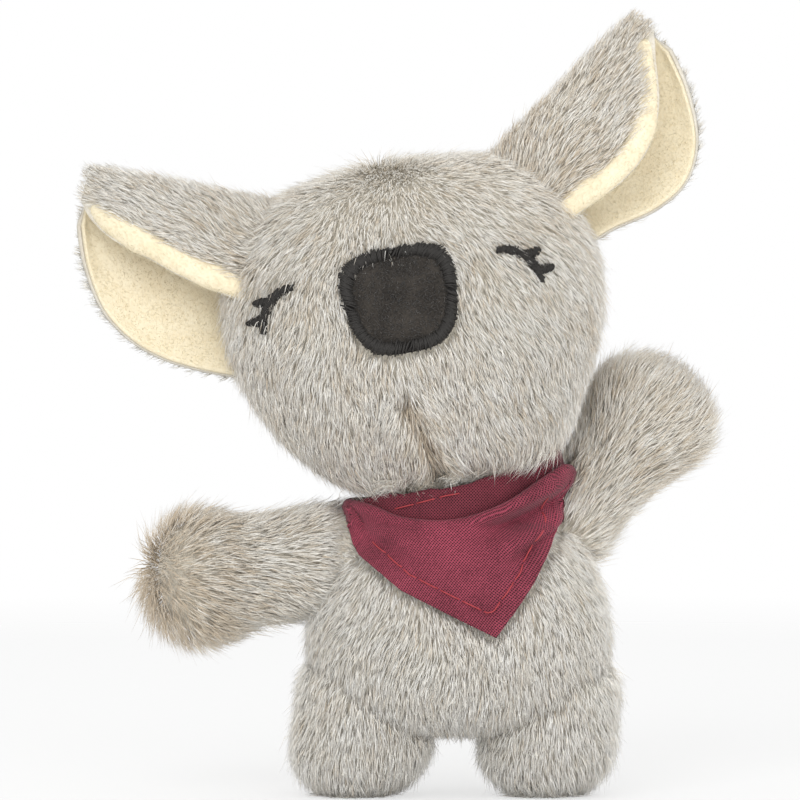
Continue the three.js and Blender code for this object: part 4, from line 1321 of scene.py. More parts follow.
def stitch_tubes(paths: Points, radii: np.ndarray, normals: Points, sides: int = 6) -> tuple[Shell, Points]:
    """Threads as closed tubes.

    Args:
        paths: Threads by points by coordinates, in millimetres.
        radii: Threads by points.
        normals: Direction off the fabric for each thread.
        sides: Corners of a section.

    Returns:
        The shell, and a map with the length of the thread up and its girth across.
    """
    count, steps = paths.shape[:2]
    run = unit(np.gradient(paths, axis=1))
    side = unit(np.cross(run, normals[:, None]))
    lift = np.cross(side, run)
    angles = full_turn(sides)
    ring = side[:, :, None] * np.cos(angles)[:, None] + lift[:, :, None] * np.sin(angles)[:, None]
    body = paths[:, :, None] + ring * radii[:, :, None, None]
    size = steps * sides + 2
    ends = [
        paths[:, :1] - run[:, :1] * radii[:, :1, None] * 0.6,
        paths[:, -1:] + run[:, -1:] * radii[:, -1:, None] * 0.6,
    ]
    points = np.concatenate([body.reshape(count, -1, 3), *ends], 1)
    quads, tris = tube_faces(np.arange(steps * sides).reshape(steps, sides), size - 2, size - 1)
    start = (np.arange(count) * size)[:, None, None]
    quads, tris = (start + quads).reshape(-1, 4), (start + tris).reshape(-1, 3)
    shell = Shell(points.reshape(-1, 3), quads, tris).outward()
    girth = np.tile(np.abs(np.linspace(-1, 1, sides, endpoint=False)) * 0.12, steps)
    up = np.repeat(np.linspace(0.04, 0.96, steps), sides)
    across = np.concatenate([girth, [0.06, 0.06]])
    along = np.concatenate([up, [0.01, 0.99]])
    offset = (np.arange(count) % 7)[:, None] * 0.12 + 0.02
    uv = np.stack([offset + across, np.broadcast_to(along, (count, size))], -1).reshape(-1, 2)
    return shell, uv


@dataclass
class Nose:
    """Felt patch with a satin-stitched border.

    Attributes:
        taper: Share by which the patch narrows toward the chin.
        felt_rises: Height of the felt at its edge, and what its dome adds in the middle.
        sunk: Height of its lower face, inside the head's skin.
        border: Width of the ring of stitches, which arch up by border_rise over a padded bed.
        hidden: Width of the border's outer edge over which fur still grows.
        stitches: Number of stitches round the border.
        thread_radius: Radius of a thread at its ends. It swells by thread_swell in the middle.
    """

    half_width: float = 9.2
    half_height: float = 8.6
    centre_side: float = -0.055 * HEAD.half_width
    centre_level: float = 0.06 * HEAD.height
    power: float = 3.1
    taper: float = 0.13
    felt_rises: tuple[float, float] = (0.45, 0.45)
    sunk: float = -0.3
    fuzz_spacing: float = 0.42
    border: float = 2.1
    border_rise: float = 1.15
    bed_rise: float = 1.05
    bed_sunk: float = -0.2
    hidden: float = 0.7
    stitches: int = 330
    thread_radius: float = 0.11
    thread_swell: float = 0.04
    seed: int = SEED + 5

    def place(self, angles: np.ndarray, inset: np.ndarray, lift: np.ndarray) -> Points:
        """Points on the patch's rounded outline, drawn in by an inset and narrowed toward the chin."""
        across, rise = section_ring(angles, self.half_width - inset, self.half_height - inset, self.power)
        side = self.centre_side + across * (1 + self.taper * rise / self.half_height)
        return HEAD.skin(side, self.centre_level + rise, lift)

    def covers(self, own: Points) -> np.ndarray:
        """True at places on the head's own axes that the felt and most of its border hide."""
        across = np.abs(own[:, 0] - self.centre_side) / (self.half_width - self.hidden)
        rise = np.abs(own[:, 2] - self.centre_level) / (self.half_height - self.hidden)
        return (across**self.power + rise**self.power < 1) & (own[:, 1] < 0)

    def build(self) -> None:
        """Makes the felt, its fuzz and the border's stitches."""
        rng = np.random.default_rng(self.seed)
        share = np.linspace(0, 1, 22)[:, None]
        inset = self.half_width - (self.half_width - self.border * 0.55) * share
        edge_rise, dome_rise = self.felt_rises
        dome = edge_rise + dome_rise * np.cos(share * math.pi / 2)
        top, low = (self.place(full_turn(96), inset, lift) for lift in (dome, self.sunk))
        felt = make_piece("nose_felt", Shell.from_rings(np.concatenate([top, low[::-1]])), FELT.material())
        settle(felt, "felt", "head", ["nose_patch"])
        cap = Shell.from_rings(np.concatenate([top, low[::-1][-3:]]))
        roots, normals = cap.scatter(self.fuzz_spacing, rng)
        seen = normals[:, 1] < -0.3
        style = PileStyle(
            length=0.8, width=0.09, rise=60, settle=80, tuft=1.2, gather=0.1, stray=180, tone=0.45,
            tone_spread=0.25, guard_share=0,
        )
        combs = combed(Flow.ALONG, roots[seen], (1, 0, 0.3))
        pile = Pile("nose_fuzz", style, FUZZ, self.seed + 1)
        for fuzz in pile.grow(roots[seen], normals[seen], Nap(combs)):
            settle(fuzz, "felt", "head")
        self._border(rng)

    def _border(self, rng: np.random.Generator) -> None:
        """Close satin stitches that arch over a rounded ridge, their ends uneven."""
        count = self.stitches
        angles = full_turn(count) + rng.normal(0, 0.004, count)
        outer = rng.normal(0.05, 0.16, count)
        inner = self.border + rng.normal(0.05, 0.14, count)
        share = np.linspace(0, 1, 7)
        inset = outer[:, None] + (inner - outer)[:, None] * share
        arch = 0.05 + self.border_rise * np.sin(share * math.pi) ** 0.6
        lift = arch[None] * rng.uniform(0.94, 1.06, (count, 1))
        slant = angles[:, None] + 0.05 * (share - 0.5)
        paths = self.place(slant, inset, lift)
        radii = np.broadcast_to(self.thread_radius + self.thread_swell * np.sin(share * math.pi), (count, 7))
        up = unit(self.place(angles, 1.0, 2.0) - self.place(angles, 1.0, 0.0))
        shell, uv = stitch_tubes(paths, radii, up)
        border = make_piece("nose_stitches", shell, THREAD.material(), uv)
        settle(border, "thread", "head", ["nose_border"])
        bed = self.bed_rise * np.sin(np.linspace(0, math.pi, 7))[:, None] + self.bed_sunk
        inset = np.linspace(0.0, self.border, 7)[:, None]
        grids = [self.place(full_turn(120), inset, lift) for lift in (bed, self.bed_sunk)]
        closed = [np.concatenate([grid, grid[:, :1]], 1) for grid in grids]
        padding = make_piece("nose_padding", Shell.from_sheets(*closed), THREAD_BED.material())
        settle(padding, "thread", "head")


@dataclass
class Eye:
    """Embroidered closed eye: an arc and two lashes in close satin stitch.

    Attributes:
        offset: Distance from the nose's middle, as a share of the head's half width.
        lashes: Angle on the arc at which each lash starts, and its rise.
    """

    side: Side
    offset: float = 0.532
    centre_level: float = 1.7
    arc_width: float = 6.0
    arc_height: float = 6.5
    lashes: tuple = ((48, 0.12), (20, -0.05))
    lash_length: float = 2.5
    thickness: float = 1.5
    pitch: float = 0.17
    slant: float = 0.35
    rise: float = 0.5
    thread_radius: float = 0.13

    def _on_arc(self, degrees: np.ndarray | float) -> Points:
        """Places in front view at angles on the arc."""
        turn, hand = np.radians(degrees), self.side.hand
        centre = NOSE.centre_side + hand * self.offset * HEAD.half_width
        rise = self.centre_level + self.arc_height * np.sin(turn)
        return np.stack([centre + hand * self.arc_width * np.cos(turn), rise], -1)

    def build(self) -> None:
        """Sews the three lines as one piece of thread."""
        rng = np.random.default_rng(SEED + (31 if self.side is Side.LEFT else 37))
        lines = [self._on_arc(np.linspace(92, 1, 40))]
        share = np.linspace(-0.1, 1, 16)[:, None]
        for degrees, rise in self.lashes:
            lines.append(self._on_arc(degrees) + share * np.array([self.side.hand, rise]) * self.lash_length)
        shells, maps = zip(*(self._satin(line, rng) for line in lines))
        name = f"eye_{self.side.value}"
        piece = make_piece(f"{name}_stitches", joined(shells), THREAD.material(), np.concatenate(maps))
        settle(piece, "thread", "head", [name])

    def _satin(self, line: Points, rng: np.random.Generator) -> tuple[Shell, Points]:
        """Stitches across a line in front view, slanted to it and arched over it."""
        length = lengths_along(line)[-1]
        count = max(8, int(length / self.pitch * 1.6))
        spots = np.linspace(0, length, count) + rng.normal(0, 0.04, count)
        middle, ahead, behind = (points_at(spots + step, line) for step in (0, 0.2, -0.2))
        run = unit(ahead - behind)
        cross = np.stack([-run[:, 1], run[:, 0]], -1)
        taper = 0.55 + 0.45 * np.sin(np.clip(spots / length, 0.02, 0.98) * math.pi) ** 0.5
        half = self.thickness / 2 * taper * rng.uniform(0.65, 1.25, count)
        share = np.linspace(-1, 1, 5)
        slant = unit(cross + self.slant * run)
        flat = middle[:, None] + slant[:, None] * (share[:, None] * half[:, None, None])
        lift = 0.35 + self.rise * (1 - share**2)[None] + rng.normal(0, 0.08, (count, 1))
        paths = HEAD.skin(flat[..., 0], flat[..., 1], lift)
        radii = np.broadcast_to(self.thread_radius * (1 - 0.25 * share**2), (count, 5))
        return stitch_tubes(paths, radii, HEAD.outward(middle[:, 0], middle[:, 1]))


@dataclass
class Neckerchief:
    """Woven triangle laid round the neck, with a rolled top fold, an inner turn and a stitched hem.

    Places across are measured from the body's middle, in millimetres.

    Attributes:
        span: Width of the pattern that the cloth's map covers.
        roll: Radius of the fold, which turns through roll_turn in degrees.
        highest_section: Height above which the body's sections stop narrowing under the cloth.
        lay: Distance of the cloth from the body's form.
        nape_drops: How much lower the band's edge and fold lie at the nape.
        shoulder_tuck: How far the band's edge is drawn up over its first share.
        fold_start: Height in metres, with its place, of the loose part's bend, down to fold_end; not used.
        edge: Places of the lower edge, whose tip is the entry at corner.
        top: Places of the fold.
        creases: Start, end, height and half width of each ridge or valley.
        turn_reach: Half width of the inner turn, with its rises over the fold and its lap below it.
    """

    span: float = 120.0
    wall: float = 0.5
    roll: float = 0.95
    hem: float = 3.0
    stitch: float = 3.4
    gap: float = 0.6
    front_columns: int = 190
    back_columns: int = 90
    rows: int = 44
    highest_section: float = 45.5
    lay: float = 0.75
    hem_thickness: float = 0.2
    roll_rows: int = 12
    roll_turn: tuple[float, float] = (10.0, 205.0)
    nape_drops: tuple[float, float] = (2.4, 2.0)
    shoulder_tuck: float = 2.2
    tuck_share: float = 0.12
    thread_radius: float = 0.11
    fold_start: tuple = (0.01, -0.0138, 0.0425)
    fold_end: tuple = (0.01, -0.0138, 0.0382)
    edge: tuple = (
        (-18.1, 46.8), (-18.2, 44.5), (-17.6, 42.3), (-16.4, 40.5), (-14.4, 38.9), (-9.7, 35.1), (-1.9, 31.2),
        (5.9, 27.4), (9.0, 31.6), (12.2, 36.3), (15.0, 41.9), (16.5, 45.6), (17.2, 49.6),
    )
    corner: int = 7
    top: tuple = (
        (-17.9, 49.0), (-14.4, 48.3), (-9.7, 46.6), (-3.1, 46.1), (1.8, 46.9), (6.8, 49.0), (11.7, 51.9),
        (15.6, 54.1), (17.1, 54.9),
    )
    creases: tuple = (
        ((-1.0, 44.8), (15.5, 51.8), 1.4, 1.2),
        ((2.0, 43.0), (16.0, 49.2), -1.1, 1.1),
        ((4.5, 40.5), (16.2, 46.4), 1.1, 1.3),
        ((6.5, 37.8), (16.2, 44.2), -0.8, 1.1),
        ((-16.5, 46.5), (-7.0, 42.0), 0.6, 1.2),
        ((-16.5, 43.6), (-9.0, 39.6), -0.5, 1.1),
    )
    turn_reach: float = 17.6
    turn_rises: tuple = ((-17.6, -12, -5, 3, 10, 17.6), (0.2, 3.2, 5.2, 5.4, 4.6, 2.6))
    turn_lap: float = 2.4
    turn_wall: float = 0.22
    turn_seam: tuple = ((-11.5, 47.9), (-2.3, 50.3), (3.5, 51.2))

    def ring(self, angles: np.ndarray, level: np.ndarray, growth: np.ndarray | float) -> Points:
        """Points round the body, whose sections here stop narrowing at the shoulders: the cloth stands up."""
        points = TORSO.ring(angles, np.minimum(level, self.highest_section), growth)
        points[..., 2] = level
        return points

    def outline(self) -> tuple[Points, Points]:
        """Lower edge and top fold of the front at each column, by their length, with the tip on a column."""
        edge, top = np.array(self.edge), np.array(self.top)
        steps, size = lengths_along(edge), lengths_along(top)
        tip = steps[self.corner] / steps[-1]
        first = int(self.front_columns * tip)
        rest = np.linspace(tip, 1, self.front_columns - first + 1)[1:]
        share = np.concatenate([np.linspace(0, tip, first), rest])
        place = np.interp(share * size[-1], size, np.arange(len(top)))
        fold = np.stack([smooth_row(column, place) for column in top.T], -1)
        return points_at(share * steps[-1], edge), fold

    def covers(self, points: Points) -> np.ndarray:
        """Share by which the cloth presses the fur at places on the body: one well inside its edge."""
        edge = np.array(self.edge)
        side = points[:, 0] - TORSO.centre[0]
        level = np.interp(side, edge[1:, 0], edge[1:, 1])
        ahead = points[:, 1] < TORSO.centre[1]
        inside = np.where(ahead, points[:, 2] - level, points[:, 2] - 45)
        return np.clip((inside + 0.4) / 1.4, 0, 1)

    def lift(self, side: np.ndarray, level: np.ndarray) -> np.ndarray:
        """Fullness of the cloth: ridges that run down from the raised arm, valleys and a slack middle."""
        slack = 0.4 * bell(side - 1, 9) * np.clip((level - 31) / 9, 0, 1)
        total = slack + 0.1 * np.sin(side * 0.35 + level * 0.5)
        for (x0, z0), (x1, z1), high, wide in self.creases:
            run = np.array([x1 - x0, z1 - z0])
            away = np.stack([side - x0, level - z0], -1)
            share = (away @ run) / (run @ run)
            gap = np.abs(away[..., 0] * run[1] - away[..., 1] * run[0]) / np.linalg.norm(run)
            ends = np.clip(share * 3, 0, 1) * np.clip((1.25 - share) * 3, 0, 1)
            total = total + high * bell(gap, wide) * ends
        return total

    @staticmethod
    def clear(points: Points, margin: float) -> Points:
        """Cloth in front of a shoulder ball, drawn forward until it clears the ball by a margin."""
        for name in ("arm_left", "arm_right"):
            limb = LIMBS[name]
            away = points - np.array(limb.root)
            rest = (limb.radius + margin) ** 2 - away[..., 0] ** 2 - away[..., 2] ** 2
            front = limb.root[1] - np.sqrt(np.maximum(rest, 0))
            share = np.clip((limb.root[1] - 1.0 - points[..., 1]) / 3, 0, 1) * (rest > 0)
            moved = points[..., 1] + (np.minimum(points[..., 1], front) - points[..., 1]) * share
            points = np.concatenate([points[..., :1], moved[..., None], points[..., 2:]], -1)
        return points

    def _spread(self) -> tuple[np.ndarray, np.ndarray, np.ndarray]:
        """Angles, levels and hem mask of the flat rows: the front, then the band round the back."""
        low, top = self.outline()
        share = np.linspace(0, 1, self.rows - self.roll_rows)[:, None]
        side = low[:, 0] + (top[:, 0] - low[:, 0]) * share
        level = low[:, 1] + (top[:, 1] - self.roll - low[:, 1]) * share
        angles = self._angles_at(side + TORSO.centre[0], level)
        start, end = angles[:, -1:], angles[:, :1] + 2 * math.pi
        part = np.linspace(0, 1, self.back_columns)[None, 1:]
        behind = start + (end - start) * part
        weight = part * part * (3 - 2 * part)
        back_low, back_top = (
            line[-1, 1] * (1 - weight) + line[0, 1] * weight - drop * np.sin(part * math.pi) ** 2
            for line, drop in zip((low, top), self.nape_drops)
        )
        back_low = back_low + self.shoulder_tuck * np.sin(np.clip(part / self.tuck_share, 0, 1) * math.pi)
        levels = np.concatenate([level, back_low + (back_top - self.roll - back_low) * share], 1)
        edge = np.concatenate([low[:, 1], back_low[0]])
        hem = np.clip(1 - (levels - edge) / self.hem, 0, 1) > 0.02
        return np.concatenate([angles, behind], 1), levels, hem

    def grids(self) -> tuple[Points, Points, Points]:
        """Outer and inner faces of the front layer with its roll, and its map in millimetres."""
        angles, level, hem = self._spread()
        share = np.linspace(0, 1, level.shape[0])[:, None]
        side = self.ring(angles, level, 0.9)[..., 0] - TORSO.centre[0]
        ahead = np.clip(-np.sin(angles) * 3, 0, 1)
        growth = self.lay + self.lift(side, level) * np.clip(share * 4 + 0.15, 0, 1) * ahead
        growth = growth + np.clip(1 - (level[-1] - level) / 4, 0, 1) ** 2 * 0.7
        turn = np.radians(np.linspace(*self.roll_turn, self.roll_rows))[:, None]
        roll_level = level[-1] + self.roll * np.sin(turn)
        roll_growth = growth[-1] - self.roll * 0.9 * (1 - np.cos(turn))
        levels = np.concatenate([level, roll_level])
        growths = np.concatenate([growth, roll_growth])
        angles = np.concatenate([angles, np.broadcast_to(angles[-1], roll_level.shape)])
        hem = np.concatenate([hem, np.zeros(roll_level.shape, bool)])
        middle = self.clear(self.ring(angles, levels, growths), 0.7)
        normal = unit(np.cross(np.gradient(middle, axis=1), np.gradient(middle, axis=0)))
        wall = (self.wall / 2 + self.hem_thickness * hem)[..., None]
        up = np.linalg.norm(np.diff(middle, axis=0, prepend=middle[:1]), axis=-1).cumsum(axis=0) + levels[0]
        steps = np.diff(middle, axis=1, prepend=middle[:, :1])[..., :2]
        along = np.linalg.norm(steps, axis=-1).cumsum(axis=1)
        tip = int(np.argmin(levels[0]))
        along = along - along[:, tip : tip + 1] + self.span / 2
        last = -self.back_columns
        along[:, last:] = (along[:, last:] - along[:, last : last + 1]).mean(axis=0) + along[:, last].mean()
        flat = np.stack([along, up], -1)
        return middle + normal * wall, middle - normal * self.wall / 2, flat

    def build(self) -> None:
        """Makes the front layer, the inner turn and both rows of stitches."""
        outer, inner, flat = self.grids()
        uv = np.concatenate([flat.reshape(-1, 2), flat.reshape(-1, 2)]) / self.span
        cloth = make_piece("neckerchief_cloth", Shell.from_sheets(outer, inner), CLOTH.material(), uv)
        settle(cloth, "cloth", nodes=["neckerchief_wrap", "neckerchief_flap"])
        turn = self._inner_turn()
        seam = self._hem_stitches()
        for piece in (cloth, seam):
            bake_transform(piece)

    @staticmethod
    def _area(grid: Points) -> float:
        """Area of a grid of points in square metres, the sum of its quads' cross products."""
        a = grid[1:, 1:] - grid[:-1, :-1]
        b = grid[1:, :-1] - grid[:-1, 1:]
        return float(np.linalg.norm(np.cross(a, b), axis=-1).sum() / 2 * MM * MM)

    def _inner_turn(self) -> bpy.types.Object:
        """Inner layer that stands behind the fold, under the chin, with its row of stitches; its cloth is the
        burgundy one darkened by painted shade.
        """
        top = np.array(self.top)
        side = np.linspace(-self.turn_reach, self.turn_reach, 160)
        fold = np.interp(side, top[:, 0], top[:, 1])
        rise = np.interp(side, *self.turn_rises)
        share = np.linspace(0, 1, 14)[:, None]
        level = fold - self.turn_lap + (rise + self.turn_lap) * share
        angles = self._angles_at(np.broadcast_to(side + TORSO.centre[0], level.shape), level)
        wrap = np.linspace(0, 1, 25)[1:]
        drop = np.clip(wrap * 4, 0, 1)
        low = level[0, -1] + (self.highest_section - level[0, -1]) * drop
        high = level[-1, -1] - 3.6 * drop
        level = np.concatenate([level, low + (high - low) * share], 1)
        angles = np.concatenate([angles, angles[:, -1:] + 1.2 * wrap], 1)
        side = np.concatenate([side, side[-1] + 18 * wrap])
        places = np.broadcast_to(side + TORSO.centre[0], level.shape)
        growth = -0.5 + 0.2 * np.sin(side * 0.9) * share + 0.3 * share
        face = self.clear(self.ring(angles, level, growth), 0.2)
        normal = unit(np.cross(np.gradient(face, axis=1), np.gradient(face, axis=0)))
        shell = Shell.from_sheets(face + normal * self.turn_wall, face - normal * self.turn_wall)
        flat = np.stack([places + self.span / 2, level], -1).reshape(-1, 2) / self.span
        piece = make_piece("neckerchief_inner", shell, SHADED_CLOTH.material(), np.concatenate([flat, flat]))
        settle(piece, "cloth", "torso")
        seam = np.array(self.turn_seam)
        run = np.linspace(seam[0, 0], seam[-1, 0], 200)
        height = np.interp(run, seam[:, 0], seam[:, 1])
        spots = self._angles_at(run + TORSO.centre[0], height)
        stitches = self._sewn("neckerchief_inner_stitches", self.ring(spots, height, 0.15))
        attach(stitches, "torso")
        return piece

    def _hem_stitches(self) -> bpy.types.Object:
        """Lock stitches a hem's width inside the two lower edges of the triangle."""
        line = np.array([*self.edge[3:], (17.0, 54.0)])
        steps = lengths_along(line)
        spots = np.linspace(0, steps[-1], 500)
        flat = points_at(spots, line)
        run = unit(np.gradient(flat, axis=0))
        flat = flat + np.stack([-run[:, 1], run[:, 0]], -1) * self.hem
        flat = flat[np.abs(spots - steps[self.corner - 3]) > self.hem * 1.02]
        angles = self._angles_at(flat[:, 0] + TORSO.centre[0], flat[:, 1])
        growth = self.lay + self.lift(flat[:, 0], flat[:, 1]) * 0.7 + self.wall / 2 + 0.3
        return self._sewn("neckerchief_hem_stitches", self.clear(self.ring(angles, flat[:, 1], growth), 1.2))

    @staticmethod
    def _angles_at(side: np.ndarray, level: np.ndarray) -> np.ndarray:
        """Angles round the body's front whose points have the given places across, by halving."""
        low, high = np.full(side.shape, -math.pi), np.zeros(side.shape)
        for _ in range(30):
            middle = (low + high) / 2
            short = NECKERCHIEF.ring(middle, level, 0.9)[..., 0] < side
            low, high = np.where(short, middle, low), np.where(short, high, middle)
        return (low + high) / 2

    def _sewn(self, name: str, line: Points) -> bpy.types.Object:
        """Stitches of equal length with small gaps along a line, each dipping into the cloth at both ends."""
        pitch = self.stitch + self.gap
        count = int(lengths_along(line)[-1] / pitch)
        share = np.linspace(0, 1, 7)
        spots = (np.arange(count)[:, None] * pitch + self.gap / 2) + share * self.stitch
        paths = points_at(spots, line)
        away = paths.mean(1) - np.array([*TORSO.centre, 0])
        away[:, 2] = 0
        up = unit(away)
        dip = (np.abs(2 * share - 1) ** 4 * 0.28)[None, :, None]
        paths = paths - up[:, None] * dip
        shell, uv = stitch_tubes(paths, np.full(paths.shape[:2], self.thread_radius), up)
        piece = make_piece(name, shell, HEM_THREAD.material(), uv)
        return piece


@dataclass
class Neck:
    """Gathered neck seam between the body and the head, wider than the ball inside it."""

    centre: tuple = (8.385, 1.644, 48.97)
    radius: float = 6.6
    stretch: tuple = (1.75, 1.12, 1.0)
    pleats: int = 14

    def shell(self, growth: float) -> Shell:
        """A squat ball whose waist is drawn into pleats: its radius swells with a cosine of the angle."""
        polar = np.linspace(0, math.pi, 36)[:, None]
        angles = full_turn(112)[None]
        pleat = 1 + 0.05 * np.cos(self.pleats * angles) * np.sin(polar)
        size = (self.radius + SKIN_DEPTH + growth) * pleat
        rings = np.stack([
            size * np.sin(polar) * np.cos(angles),
            size * np.sin(polar) * np.sin(angles),
            -size * np.cos(polar) * np.ones_like(angles),
        ], -1)
        return Shell.from_rings(rings * np.array(self.stretch) + np.array(self.centre))


@dataclass
class Studio:
    """Pale floor, soft light and the camera of the photograph."""

    middle: tuple[float, float, float] = (0.00027, 0.0016, 0.0655)
    distance: float = 1.0
    frame_height: float = 0.132
    elevation: float = 2.0
    floor_radius: float = 0.75
    floor_fade: tuple[float, float] = (0.12, 0.5)
    floor_clearness: float = 0.62

    def build(self) -> None:
        """Sets the floor, the lamps, the world and the camera."""
        self._floor()
        self._lamp("key", (-0.3, -0.85, 0.6), 0.6, 3.6)
        self._lamp("fill", (0.45, -0.95, 0.1), 0.8, 5.0)
        self._world()
        self._camera()

    def _floor(self) -> None:
        """Round pale sheet that fades out toward its rim."""
        rows, columns = 12, 64
        radii = np.linspace(0, self.floor_radius, rows)[:, None]
        angles = full_turn(columns)[None]
        grid = np.stack([radii * np.cos(angles), radii * np.sin(angles), np.zeros((rows, columns))], -1) / MM
        quads, tris = tube_faces(np.arange(rows * columns).reshape(rows, columns)[1:], 0, 0)
        shell = Shell(grid.reshape(-1, 3), quads[:, ::-1], tris[:columns, ::-1])
        material = bpy.data.materials.new("pale floor")
        material.use_nodes = True
        board = NodeBoard(material.node_tree)
        shader = material.node_tree.nodes["Principled BSDF"]
        board.adjust(shader, Base_Color=(0.97, 0.97, 0.97, 1), Roughness=1.0, Specular_IOR_Level=0.0)
        place = board.add("ShaderNodeTexCoord").outputs["Object"]
        away = board.add("ShaderNodeVectorMath", operation="LENGTH")
        board.link(place, away.inputs[0])
        start, end = self.floor_fade
        fade = board.through(
            "ShaderNodeMapRange", away.outputs["Value"], "Value", "Result", From_Min=start, From_Max=end
        )
        path = board.add("ShaderNodeLightPath")
        seen = board.calculate("MULTIPLY", path.outputs["Is Camera Ray"], self.floor_clearness)
        clear = board.add("ShaderNodeBsdfTransparent")
        share = board.calculate("MAXIMUM", fade, seen)
        mixed = board.shaders(share, shader.outputs["BSDF"], clear.outputs["BSDF"])
        board.link(mixed, material.node_tree.nodes["Material Output"].inputs["Surface"])
        make_piece("floor", shell, material)

    def _lamp(self, name: str, place: tuple[float, float, float], size: float, power: float) -> None:
        """Square soft lamp turned toward the toy."""
        lamp = bpy.data.lights.new(name, "AREA")
        lamp.shape, lamp.size, lamp.energy = "SQUARE", size, power
        holder = bpy.data.objects.new(name, lamp)
        holder.location = place
        aim = np.array(self.middle) - np.array(place)
        tip = math.acos(-aim[2] / np.linalg.norm(aim))
        holder.rotation_euler = (tip, 0, math.atan2(aim[1], aim[0]) - math.pi / 2)
        bpy.context.scene.collection.objects.link(holder)

    @staticmethod
    def _world() -> None:
        """Soft even light, seen as plain white."""
        world = bpy.data.worlds.new("soft white")
        world.use_nodes = True
        bpy.context.scene.world = world
        world.node_tree.nodes.clear()
        board = NodeBoard(world.node_tree)
        light = board.add("ShaderNodeBackground", Color=(1, 1, 1, 1), Strength=0.8)
        seen = board.add("ShaderNodeBackground", Color=(1, 1, 1, 1), Strength=1.0)
        path = board.add("ShaderNodeLightPath").outputs
        ray = board.calculate("MAXIMUM", path["Is Camera Ray"], path["Is Glossy Ray"])
        ray = board.calculate("MAXIMUM", ray, path["Is Transmission Ray"])
        output = board.add("ShaderNodeOutputWorld")
        mixed = board.shaders(ray, light.outputs["Background"], seen.outputs["Background"])
        board.link(mixed, output.inputs["Surface"])

    def _camera(self) -> None:
        """Long lens level with the toy, its frame's height on the toy's middle plane."""
        lens = bpy.data.cameras.new("camera")
        lens.sensor_width = 36
        lens.lens = 36 * self.distance / self.frame_height
        lens.clip_start, lens.clip_end = 0.05, 10
        rise = math.radians(self.elevation)
        back = np.array([0, -math.cos(rise), math.sin(rise)])
        holder = bpy.data.objects.new("camera", lens)
        holder.location = tuple(np.array(self.middle) + back * self.distance)
        holder.rotation_euler = (math.pi / 2 - rise, 0, 0)
        bpy.context.scene.collection.objects.link(holder)
        bpy.context.scene.camera = holder


NOSE = Nose()
NECKERCHIEF = Neckerchief()


@dataclass(frozen=True)
class HeadNap:
    """Fur that radiates from the crown and hangs at the chin, with painted shade in the dart, and darker by
    the ears' seams from brownish tufts and painted shade.
    """

    crown: tuple[float, float, float] = (-3.8, 2.0, 105.4)
    crown_shade: float = 0.12
    dart_shade: float = 0.14
    seam_shade: float = 0.09
    seam_reach: float = 11.0
    chin_level: float = -20.5
    chin_fade: float = 5.0
    chin_lean: float = 0.45

    def __call__(self, points: Points) -> Nap:
        """The nap at places on the head."""
        own = HEAD.own(points)
        # Painted shade in the dart's crease; by the ears' seams the darkening is partly brownish tufts,
        # partly painted shade.
        shade = -self.dart_shade * HEAD.dent(own)
        for ear in EARS.values():
            shade = shade - self.seam_shade * bell(np.linalg.norm(points - ear.root, axis=1), self.seam_reach)
        swirl = np.linalg.norm(points - np.array(self.crown), axis=1)
        shade = shade - self.crown_shade * bell(swirl, 4)
        chin = np.clip((self.chin_level - own[:, 2]) / self.chin_fade, 0, 1)
        ahead = np.where(own[:, 1] < 0, -self.chin_lean, self.chin_lean)
        hang = np.stack([np.zeros(len(points)), ahead, np.full(len(points), -1.0)], -1)
        combs = combed(Flow.FROM, points, self.crown) * (1 - chin[:, None]) + hang * chin[:, None] * 1.2
        return Nap(combs, shade, -0.7 * bell(swirl, 5), 1 + (0.22 + 0.3 * (own[:, 0] < -4)) * chin)

    @staticmethod
    def keep(points: Points) -> np.ndarray:
        """Places off the nose's felt and border, where fur grows."""
        return ~NOSE.covers(HEAD.own(points))


@dataclass(frozen=True)
class TorsoNap:
    """Nap of the body: down, a little outward from its middle line, flat under the neckerchief, and lightened
    by painted light.
    """

    middle: tuple[float, float, float] = (10.0, 1.6, 42.0)
    outward: float = 0.8
    shade: float = 0.13
    # Painted light: lightens the body's fur, which the head and the neckerchief above leave in shade.
    highest: float = 47.5
    seam_inset: float = 4.0

    def __call__(self, points: Points) -> Nap:
        """The nap at places on the body."""
        down = combed(Flow.ALONG, points, (0, 0, -1))
        combs = down + self.outward * combed(Flow.FROM, points, self.middle)
        return Nap(combs, self.shade, NECKERCHIEF.covers(points))

    def keep(self, points: Points) -> np.ndarray:
        """Places of the body below the neck and outside the limbs' roots."""
        free = points[:, 2] < self.highest
        for limb in LIMBS.values():
            free &= np.linalg.norm(points - np.array(limb.root), axis=1) > limb.radius - self.seam_inset
        return free


@dataclass(frozen=True)
class NeckNap:
    """Short fur of the neck, down all round."""

    highest: float = 55.0

    def __call__(self, points: Points) -> Nap:
        """The nap at places on the neck."""
        return Nap(combed(Flow.ALONG, points, (0, 0, -1)))

    def keep(self, points: Points) -> np.ndarray:
        """Places below the head's middle."""
        return points[:, 2] < self.highest


